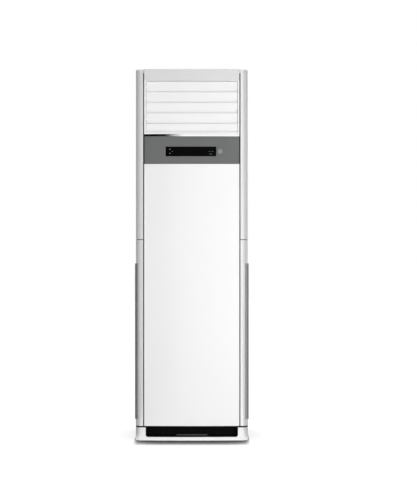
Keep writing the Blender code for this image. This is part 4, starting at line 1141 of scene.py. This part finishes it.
@dataclass
class Corner:
    """One side of the cabinet: columns, joiner, intake grille, filter and side panel."""

    side: Side
    column_radius: float = 0.028
    column_wall: float = 0.003
    column_edge: float = 0.0007
    column_zone: tuple[float, float] = (0.26, -0.18)
    sheet: float = 0.0015
    sheet_edge: float = 0.0004
    fold_zone: float = 0.265
    front_flange: float = 0.016
    front_fold: float = 0.0022
    rear_flange: float = 0.030
    rear_fold: float = 0.006
    gap_angle: float = 32.0
    grille_end: float = 0.075
    slots: int = 22
    rows: int = 4
    border: float = 0.008
    bar: float = 0.0042
    bar_edge: float = 0.0011
    tie: float = 0.006
    grille_depth: float = 0.008
    grille_proud: float = 0.004
    filter_depth: float = 0.0025
    filter_step: float = 0.0035
    filter_sink: float = 0.0043
    seat: float = 0.0003

    @property
    def sign(self) -> int:
        """1 on the right, -1 on the left."""
        return self.side.value

    def node(self, rest: str) -> str:
        """A node's name on this side."""
        return f"{self.side.word}_{rest}"

    def outer(self) -> float:
        """Half the cabinet's width over its side panels."""
        low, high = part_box(self.node("side_panel"))
        return max(abs(low.x), abs(high.x))

    def centre(self) -> tuple[float, float]:
        """The corner arc's centre on the right side."""
        low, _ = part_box(self.node("column_upper"))
        return self.outer() - self.column_radius, low.y + self.column_radius

    def handed(self, shape: Shape) -> Shape:
        """Mirrors a right-hand form on the left."""
        if self.sign < 0:
            shape.move(lambda co: Vector((-co.x, co.y, co.z)))
            bmesh.ops.reverse_faces(shape.bm, faces=shape.bm.faces)
        return shape

    def column_path(self, z: float) -> list[Point]:
        """The right column's outer corners at a height."""
        low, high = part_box("right_column_upper")
        rear_of_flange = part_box("front_panel")[1].y
        return [(low.x, rear_of_flange, z), (low.x, low.y, z), (high.x, low.y, z), (high.x, high.y, z)]

    def cut_for_grille(self, shape: Shape) -> None:
        """Takes the grille's opening out of a right-hand sheet."""
        x, y = self.centre()
        angle = math.radians(self.gap_angle)
        low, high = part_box(self.node("intake_grille"))
        bottom, top = low.z - self.seat, high.z + self.seat
        shape.slice(2, (bottom, top))
        shape.split((x, y, 0), (math.cos(angle), math.sin(angle), 0))
        shape.slice(1, (self.grille_end + self.seat,))

        def inside(middle: Vector) -> bool:
            """Whether a face's middle lies in the opening."""
            turn = math.atan2(middle.x - x, y - middle.y)
            in_plan = turn > angle and middle.x > x and middle.y < self.grille_end + self.seat
            return bottom < middle.z < top and in_plan

        shape.drop(inside)

    def column(self, part: str) -> None:
        """An upper or a lower column.

        Args:
            part: "upper" or "lower".
        """
        low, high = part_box(self.node("column_" + part))
        shape = Shape()
        shape.ribbon(self.column_path(low.z), (0, 0, high.z - low.z))
        zone_x, zone_y = self.column_zone
        corner = shape.along(2, lambda middle: middle.x > zone_x and middle.y < zone_y)
        shape.round(corner, self.column_radius, 20)
        shape.unmark()
        if part == "lower":
            self.cut_for_grille(shape)
        shape.thicken(self.column_wall)
        shape.round(shape.sharp(SHARP), self.column_edge, 3)
        Workshop.finish(
            f"{self.side.word}_column_{part}_shell",
            self.handed(shape),
            Palette.COLUMN,
            Place(Slot.COLUMN, (self.node("column_" + part),)),
        )

    def panel(self) -> None:
        """The folded steel side panel."""
        low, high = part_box("right_side_panel")
        front, rear = low.y, high.y
        path = [(high.x - self.front_flange, front), (high.x, front), (high.x, rear), (high.x - self.rear_flange, rear)]
        shape = Shape()
        shape.ribbon([(x, y, low.z) for x, y in path], (0, 0, high.z - low.z))
        zone = self.fold_zone
        shape.round(shape.along(2, lambda middle: middle.x > zone and middle.y > 0), self.rear_fold, 8)
        shape.round(shape.along(2, lambda middle: middle.x > zone and middle.y < front + NEAR), self.front_fold, 4)
        shape.unmark()
        self.cut_for_grille(shape)
        shape.thicken(self.sheet)
        shape.round(shape.sharp(SHARP), self.sheet_edge, 2)
        Workshop.finish(
            f"{self.side.word}_side_skin",
            self.handed(shape),
            Palette.SHEET,
            Place(Slot.SHEET, (self.node("side_panel"),)),
        )

    def wrapped(self, distance: float, offset: float) -> tuple[float, float]:
        """The plan point at a distance along the right grille's face and an offset out of the column's."""
        x, y = self.centre()
        length = self.column_radius * math.radians(90 - self.gap_angle)
        if distance < length:
            angle = math.radians(self.gap_angle) + distance / self.column_radius
            radius = self.column_radius + offset
            return x + radius * math.sin(angle), y - radius * math.cos(angle)
        return self.outer() + offset, y + distance - length

    def wrap(self, shape: Shape, proud: float) -> None:
        """Bends a flat form in X and Z round the corner, its front at y = 0."""

        def bent(co: Vector) -> Vector:
            """Where a point of the flat form ends up."""
            x, y = self.wrapped(co.x, proud - co.y)
            return Vector((x, y, co.z))

        shape.move(bent)

    def face_length(self) -> float:
        """The length of the grille's face, from its front edge round to its rear edge."""
        _, y = self.centre()
        return self.column_radius * math.radians(90 - self.gap_angle) + self.grille_end - y

    def grille(self) -> None:
        """The intake grille: upright rounded bars tied by cross bars."""
        low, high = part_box(self.node("intake_grille"))
        length = self.face_length()
        slot = (length - 2 * self.border - (self.slots - 1) * self.bar) / self.slots
        cell = (high.z - low.z - 2 * self.border - (self.rows - 1) * self.tie) / self.rows
        starts = [self.border + i * (slot + self.bar) for i in range(self.slots)]
        bottoms = [low.z + self.border + i * (cell + self.tie) for i in range(self.rows)]
        shape = Shape()
        matrix = Matrix.Translation((length / 2, 0, (low.z + high.z) / 2)) @ Matrix.Rotation(math.pi / 2, 4, "X")
        matrix = matrix @ Matrix.Diagonal((length, high.z - low.z, 1.0, 1.0))
        bmesh.ops.create_grid(shape.bm, x_segments=1, y_segments=1, size=0.5, matrix=matrix)
        shape.slice(0, [value for start in starts for value in (start, start + slot)])
        shape.slice(2, [value for start in bottoms for value in (start, start + cell)])
        shape.drop(
            lambda middle: any(start < middle.x < start + slot for start in starts)
            and any(start < middle.z < start + cell for start in bottoms)
        )
        shape.slice(0, [self.border * i / 4 for i in range(1, 4)])
        bmesh.ops.solidify(shape.bm, geom=shape.bm.faces[:], thickness=self.grille_depth)
        front = min(vert.co.y for vert in shape.bm.verts)
        shape.move(lambda co: Vector((co.x, co.y - front, co.z)))
        shape.round(shape.sharp(SHARP, lambda middle: middle.y < NEAR), self.bar_edge, 3)
        self.wrap(shape, self.grille_proud)
        Workshop.finish(
            f"{self.side.word}_grille_moulding",
            self.handed(shape),
            Palette.GRILLE,
            Place(Slot.GRILLE, (self.node("intake_grille"),)),
        )

    def filter(self) -> None:
        """The filter cloth behind the grille, with a UV map in metres."""
        low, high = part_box(self.node("air_filter"))
        length = self.face_length()
        shape = Shape()
        shape.box((0, 0, low.z), (length, self.filter_depth, high.z))
        shape.slice(0, [self.filter_step * i for i in range(1, 9)])
        layer = shape.bm.loops.layers.uv.new("surface")
        for face in shape.bm.faces:
            for loop in face.loops:
                loop[layer].uv = (loop.vert.co.x, loop.vert.co.z)
        self.wrap(shape, -self.filter_sink)
        Workshop.finish(
            f"{self.side.word}_filter_cloth",
            self.handed(shape),
            Palette.FILTER,
            Place(Slot.FILTER, (self.node("air_filter"),)),
        )

    def build(self) -> None:
        """Models and dresses the side."""
        self.column("upper")
        self.column("lower")
        Workshop.refine(self.node("column_joiner"), Palette.CHASSIS, Slot.CHASSIS, self.sheet_edge)
        self.panel()
        self.grille()
        self.filter()


@dataclass
class Top:
    """The top cover."""

    corner_radius: float = 0.028
    rear_radius: float = 0.006
    edge_radius: float = 0.011
    corner_zone: float = 0.26

    def build(self) -> None:
        """Models and dresses the cover."""
        low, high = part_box("top_cover")
        notch_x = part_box("right_column_upper")[0].x
        notch_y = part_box("right_chassis_post")[0].y
        right = [(notch_x, notch_y), (notch_x, low.y), (high.x, low.y), (high.x, high.y)]
        plan = right + [(-x, y) for x, y in reversed(right)]
        shape = Shape()
        shape.prism([(x, y, low.z) for x, y in plan], (0, 0, high.z - low.z))
        zone = self.corner_zone
        shape.round(shape.along(2, lambda m: abs(m.x) > zone and m.y < 0), self.corner_radius, 16)
        shape.round(shape.along(2, lambda m: abs(m.x) > zone and m.y > 0), self.rear_radius, 6)
        outer = shape.sharp(
            SHARP,
            lambda m: m.z > high.z - NEAR and (abs(m.x) > notch_x + NEAR or m.y > 0),
        )
        shape.round(outer, self.edge_radius, 8)
        Workshop.finish("top_cover_moulding", shape, Palette.COLUMN, Place(Slot.COLUMN, ("top_cover",)))


@dataclass
class Rear:
    """The rear panel with its pipe cover, cable gland, fixing plate and screws."""

    panel_edge: float = 0.0005
    plate_edge: float = 0.0004
    cap_rings: tuple[Span, ...] = (
        (0.0, 0.0012),
        (0.30, 0.0012),
        (0.33, 0.0004),
        (0.38, 0.0004),
        (0.41, 0.0012),
        (0.70, 0.0012),
        (0.73, 0.0),
    )
    cap_depth: float = 0.003
    cap_edge: float = 0.0015
    spigot: Span = (0.0078, 0.0093)
    gland_bore: float = 0.0042
    gland_sleeve: float = 0.0064
    gland_neck: float = 0.008
    gland_reach: float = 0.016
    nut_height: float = 0.008
    nut_edge: float = 0.0006
    ribs: int = 4
    rib_pitch: float = 0.0016
    rib_rise: float = 0.0004
    head_radius: float = 0.0038
    head_height: float = 0.0013
    head_sink: float = 0.0003
    slot_width: float = 0.0009
    screw_x: float = 0.225
    panel_screws: tuple[float, ...] = (0.350, 0.585, 0.815, 1.050, 1.285, 1.520, 1.715)
    recess_screws: tuple[float, ...] = (0.095, 0.275)

    def pipe_cover(self) -> None:
        """The cap over the pipe entry, with a raised rim and rings."""
        low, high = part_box("pipe_cover")
        centre = ((low.x + high.x) / 2, (low.z + high.z) / 2)
        outer = (high.x - low.x) / 2
        face, seat, edge = high.y, high.y - self.cap_depth, self.cap_edge
        wall, bore = (outer - inset for inset in self.spigot)
        profile = [(0.0, seat)] + [(outer * share, face - depth) for share, depth in self.cap_rings]
        profile += [(outer - edge, face), (outer - self.rib_rise, face - self.rib_rise), (outer, face - edge)]
        profile += [(outer, seat), (wall, seat), (wall, low.y), (bore, low.y), (bore, seat)]
        shape = Shape()
        shape.turned(profile, centre)
        Workshop.finish("pipe_cap", shape, Palette.SHEET, Place(Slot.SHEET, ("pipe_cover",)))

    def gland(self) -> None:
        """The cable gland: a six-sided nut and a ribbed sleeve."""
        low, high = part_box("cable_gland")
        centre = ((low.x + high.x) / 2, (low.z + high.z) / 2)
        bore, sleeve, neck, rise = self.gland_bore, self.gland_sleeve, self.gland_neck, self.rib_rise
        start = high.y - self.gland_reach
        profile = [(bore, low.y), (bore, high.y), (sleeve - rise, high.y), (sleeve, high.y - rise)]
        for rib in range(1, self.ribs + 1):
            y = high.y - rib * self.rib_pitch
            profile += [(sleeve + rise, y), (sleeve, y - self.rib_pitch / 2)]
        profile += [(neck, start + self.nut_height), (neck, low.y)]
        shape = Shape()
        shape.turned(profile, centre, 48)
        nut = Shape()
        radius = 0.985 * (high.x - low.x) / 2
        nut.rod("Y", (centre[0], start + self.nut_height / 2, centre[1]), radius, self.nut_height, 6)
        nut.round(nut.sharp(), self.nut_edge, 2)
        shape.merge(nut)
        Workshop.finish("gland_moulding", shape, Palette.BLACK, Place(Slot.BLACK, ("cable_gland",)))

    def screw(self) -> bpy.types.Mesh:
        """One screw head with a cross slot, its seat at the origin and its top to +Y."""
        shape = Shape()
        radius, height = self.head_radius, self.head_height
        dome = [(radius, height * 0.45), (radius * 0.86, height * 0.82), (radius * 0.55, height), (0.0, height)]
        shape.turned([(0.0, 0.0), (radius, 0.0)] + dome, (0, 0), 24)
        head = bpy.data.meshes.new("screw_head")
        bmesh.ops.recalc_face_normals(shape.bm, faces=shape.bm.faces)
        shape.bm.to_mesh(head)
        shape.bm.free()
        cross = Shape()
        arm, half = radius * 0.55, self.slot_width / 2
        cross.box((-arm, height * 0.4, -half), (arm, height * 2, half))
        tool = bpy.data.meshes.new("slot")
        cross.bm.to_mesh(tool)
        cross.bm.free()
        body, first = bpy.data.objects.new("head", head), bpy.data.objects.new("slot", tool)
        second = bpy.data.objects.new("slot", tool)
        second.rotation_euler = (0, math.pi / 2, 0)
        for thing in (body, first, second):
            bpy.context.scene.collection.objects.link(thing)
        for thing in (first, second):
            cut = body.modifiers.new("cut", "BOOLEAN")
            cut.operation, cut.object = "DIFFERENCE", thing
        bpy.context.view_layer.update()
        result = bpy.data.meshes.new_from_object(body.evaluated_get(bpy.context.evaluated_depsgraph_get()))
        for thing in (body, first, second):
            bpy.data.objects.remove(thing)
        for mesh in (head, tool):
            bpy.data.meshes.remove(mesh)
        return result

    def screws(self) -> None:
        """The screws along the rear panel and on the fixing plate's slots."""
        panel_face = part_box("rear_panel")[1].y
        recess_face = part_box("pipe_cover")[1].y - self.cap_depth - self.head_sink
        head = self.screw()
        places = []
        for side in Side:
            x = side.value * self.screw_x
            places += [(x, panel_face, z) for z in self.panel_screws]
            places += [(x, recess_face, z) for z in self.recess_screws]
        places += [(0.0, panel_face, self.panel_screws[0]), (0.0, recess_face, self.recess_screws[0])]
        shape = Shape()
        for place in places:
            before = set(shape.bm.verts)
            shape.bm.from_mesh(head)
            added = [vert for vert in shape.bm.verts if vert not in before]
            bmesh.ops.translate(shape.bm, verts=added, vec=place)
        bpy.data.meshes.remove(head)
        Workshop.finish("rear_screws", shape, Palette.ZINC, Place(Slot.ZINC))

    def build(self) -> None:
        """Models and dresses the rear."""
        Workshop.refine("rear_panel", Palette.ZINC, Slot.ZINC, self.panel_edge)
        self.pipe_cover()
        self.gland()
        Workshop.refine("wall_bracket", Palette.ZINC, Slot.ZINC, self.plate_edge)
        self.screws()


@dataclass(frozen=True)
class Lamp:
    """A soft lamp that faces a point of the cabinet."""

    name: str
    place: Point
    target: Point
    size: tuple[float, float]
    watts: float
    mirrored: bool = True

    def build(self) -> None:
        """Adds the lamp to the scene."""
        data = bpy.data.lights.new(self.name, "AREA")
        data.shape = "RECTANGLE"
        data.size, data.size_y = self.size
        data.energy = self.watts
        thing = bpy.data.objects.new(self.name, data)
        thing.location = self.place
        way = Vector(self.target) - Vector(self.place)
        thing.rotation_mode = "QUATERNION"
        thing.rotation_quaternion = way.to_track_quat("-Z", "Y")
        thing.visible_glossy = self.mirrored
        bpy.context.scene.collection.objects.link(thing)


@dataclass
class Studio:
    """The camera, the pale floor, the world and the lamps."""

    camera_x: float = 0.079
    camera_z: float = 0.926
    distance: float = 6.0
    view_height: float = 2.309
    ambient: float = 0.34
    floor_shadow: float = 0.12
    # The painted contact shadow on the floor: the occlusion's reach, its power near the middle, where across X it
    # fades, and its power beside the cabinet.
    contact: float = 0.175
    contact_power: float = 9.5
    contact_fade: Span = (0.250, 0.274)
    contact_side: float = 0.3
    sensor: float = 36.0
    card_top: float = 4.6
    dark_tone: float = 0.004
    dark_span: Span = (-0.80, -0.16)
    dark_fade: Span = (-0.40, -0.17)
    dark_reach: Span = (-3.2, -0.7)
    grey_tone: float = 0.34
    side_tone: float = 0.30
    grey_start: Span = (1.15, -3.3)
    grey_end: Span = (3.6, -1.6)
    side_end: float = 5.0
    floor_start: Span = (0.32, -0.1)
    floor_end: float = 3.0
    lamps: tuple[Lamp, ...] = (
        Lamp("key", (1.5, -2.5, 0.95), (0.1, -0.1, 0.85), (1.2, 1.9), 42.0, False),
        Lamp("fill", (-1.5, -3.2, 1.0), (0.0, 0.0, 0.85), (1.4, 1.8), 16.0, False),
        Lamp("top", (0.1, -1.5, 3.9), (0.0, 0.0, 1.2), (1.6, 1.6), 12.0, False),
        Lamp("back", (0.6, 3.4, 1.8), (0.0, 0.0, 0.9), (2.2, 2.2), 30.0),
    )

    def camera(self) -> None:
        """A level camera, square to the front."""
        data = bpy.data.cameras.new("camera")
        data.sensor_width = self.sensor
        data.lens = self.sensor * self.distance / self.view_height
        data.clip_start, data.clip_end = 0.1, 100.0
        thing = bpy.data.objects.new("camera", data)
        thing.location = (self.camera_x, CAD_BOX[0].y - self.distance, self.camera_z)
        thing.rotation_euler = (math.pi / 2, 0, 0)
        bpy.context.scene.collection.objects.link(thing)
        bpy.context.scene.camera = thing

    @staticmethod
    def seen(graph: Graph) -> bpy.types.NodeSocket:
        """1 for the rays that see the background: the camera's, mirrored ones and those through glass."""
        rays = graph.add("ShaderNodeLightPath").outputs
        direct = graph.maths("MAXIMUM", rays["Is Camera Ray"], rays["Is Glossy Ray"])
        return graph.maths("MAXIMUM", direct, rays["Is Transmission Ray"])

    @staticmethod
    def staged(name: str, shape: Shape) -> tuple[bpy.types.Object, Graph]:
        """Makes a shape part of the studio.

        Args:
            name: its name.
            shape: its form, which is used up.

        Returns:
            The object and its empty material's graph.
        """
        mesh = bpy.data.meshes.new(name)
        shape.bm.to_mesh(mesh)
        shape.bm.free()
        thing = bpy.data.objects.new(name, mesh)
        bpy.context.scene.collection.objects.link(thing)
        material = bpy.data.materials.new("studio_" + name)
        material.use_nodes = True
        material.node_tree.nodes.clear()
        mesh.materials.append(material)
        return thing, Graph(material.node_tree)

    def world(self) -> None:
        """White to the eye, in mirrors and through glass, and a dimmer sky as a light."""
        world = bpy.data.worlds.new("studio")
        world.use_nodes = True
        world.node_tree.nodes.clear()
        graph = Graph(world.node_tree)
        sky = graph.add("ShaderNodeBackground", {"Color": (1, 1, 1, 1), "Strength": self.ambient})
        white = graph.add("ShaderNodeBackground", {"Color": (1, 1, 1, 1), "Strength": 1.0})
        mixed = graph.add("ShaderNodeMixShader", {0: self.seen(graph), 1: sky.outputs[0], 2: white.outputs[0]})
        end = graph.add("ShaderNodeOutputWorld")
        graph.link(mixed.outputs[0], end.inputs["Surface"])
        bpy.context.scene.world = world

    def floor(self) -> None:
        """A near-white floor that keeps the cabinet's shadow, with a painted contact shadow where the cabinet touches
        it.
        """
        shape = Shape()
        bmesh.ops.create_grid(shape.bm, x_segments=8, y_segments=8, size=15.0)
        _, graph = self.staged("floor", shape)
        camera = graph.add("ShaderNodeLightPath").outputs["Is Camera Ray"]
        # Painted contact shadow: the camera sees the glow dimmed by ambient occlusion raised to a power, strong in
        # front of and behind the cabinet and fading to weak beside it.
        near = graph.add("ShaderNodeAmbientOcclusion", {"Distance": self.contact}, samples=16).outputs["AO"]
        place = graph.add("ShaderNodeTexCoord").outputs["Object"]
        across = graph.maths("ABSOLUTE", graph.add("ShaderNodeSeparateXYZ", {"Vector": place}).outputs["X"])
        depth = graph.spread(across, self.contact_fade, (self.contact_power, self.contact_side))
        depth = graph.maths("MULTIPLY", depth, camera)
        glow = graph.add("ShaderNodeEmission", {"Color": (1, 1, 1, 1), "Strength": graph.maths("POWER", near, depth)})
        matt = graph.add("ShaderNodeBsdfDiffuse", {"Color": (0.9, 0.9, 0.9, 1)})
        faint = graph.add("ShaderNodeBsdfDiffuse", {"Color": (self.floor_shadow,) * 3 + (1,)})
        lit = graph.add("ShaderNodeAddShader", {0: glow.outputs[0], 1: faint.outputs[0]})
        mixed = graph.add("ShaderNodeMixShader", {0: self.seen(graph), 1: matt.outputs[0], 2: lit.outputs[0]})
        graph.link(mixed.outputs[0], graph.add("ShaderNodeOutputMaterial").inputs["Surface"])

    def card(self, name: str, corners: Sequence[Point], depth: Point, tone: float, fade: Span = (0.0, 0.0)) -> None:
        """Adds a glowing card out of view, which only mirrors see.

        Args:
            name: its name.
            corners: its corners, in order.
            depth: the way it is thickened.
            tone: how light it is.
            fade: where along X it starts and ends to turn white, if it does.
        """
        shape = Shape()
        shape.prism(corners, depth)
        bmesh.ops.recalc_face_normals(shape.bm, faces=shape.bm.faces)
        card, graph = self.staged(name, shape)
        glow = graph.add("ShaderNodeEmission", {"Color": (1, 1, 1, 1), "Strength": tone})
        if fade[1] > fade[0]:
            place = graph.add("ShaderNodeTexCoord").outputs["Object"]
            along = graph.add("ShaderNodeSeparateXYZ", {"Vector": place}).outputs["X"]
            graph.link(graph.spread(along, fade, (tone, 1.0)), glow.inputs["Strength"])
        graph.link(glow.outputs[0], graph.add("ShaderNodeOutputMaterial").inputs["Surface"])
        for ray in ("camera", "diffuse", "shadow", "transmission"):
            setattr(card, "visible_" + ray, False)

    def cards(self) -> None:
        """The dark cards that the strip mirrors, and grey ones on each side for the columns."""
        (left, right), (far, near), top = self.dark_span, self.dark_reach, self.card_top
        upright = [(left, far, 0.0), (right, far, 0.0), (right, far, top), (left, far, top)]
        self.card("dark_card", upright, (0, -0.02, 0), self.dark_tone, self.dark_fade)
        level = [(left, far, 0.002), (right, far, 0.002), (right, near, 0.002), (left, near, 0.002)]
        self.card("dark_floor_card", level, (0, 0, 0.001), self.dark_tone, self.dark_fade)
        (start_x, start_y), (end_x, end_y) = self.grey_start, self.grey_end
        plan = [self.floor_start, self.grey_start, (end_x, start_y), (end_x, self.floor_end)]
        plan.append((self.floor_start[0], self.floor_end))
        for side in Side:
            x, rear = side.value, self.side_end
            start, end = start_x * x, end_x * x
            corners = [(start, start_y, 0.0), (end, end_y, 0.0), (end, end_y, top), (start, start_y, top)]
            self.card(side.word + "_grey_card", corners, (0.01 * x, -0.02, 0), self.grey_tone)
            corners = [(end, end_y, 0.0), (end, rear, 0.0), (end, rear, top), (end, end_y, top)]
            self.card(side.word + "_side_card", corners, (0.02 * x, 0, 0), self.side_tone)
            corners = [(across * x, along, 0.0015) for across, along in plan]
            self.card(side.word + "_floor_card", corners, (0, 0, 0.001), self.side_tone)

    def build(self) -> None:
        """Sets up the whole studio."""
        self.camera()
        self.world()
        self.floor()
        self.cards()
        for lamp in self.lamps:
            lamp.build()
        bpy.context.scene.view_settings.view_transform = "Standard"


def main() -> None:
    """Builds each sub-assembly in order, then the studio."""
    logging.basicConfig(level=logging.INFO, format="%(name)s: %(message)s")
    front = Front()
    parts = [Base(), Panels(front), Controls(front), Outlet(), Corner(Side.LEFT), Corner(Side.RIGHT), Top(), Rear()]
    for part in parts:
        part.build()
        LOG.info("%s done", type(part).__name__)
    Studio().build()
    LOG.info("%d pieces", len(Workshop.made))


if __name__ == "__main__":
    main()
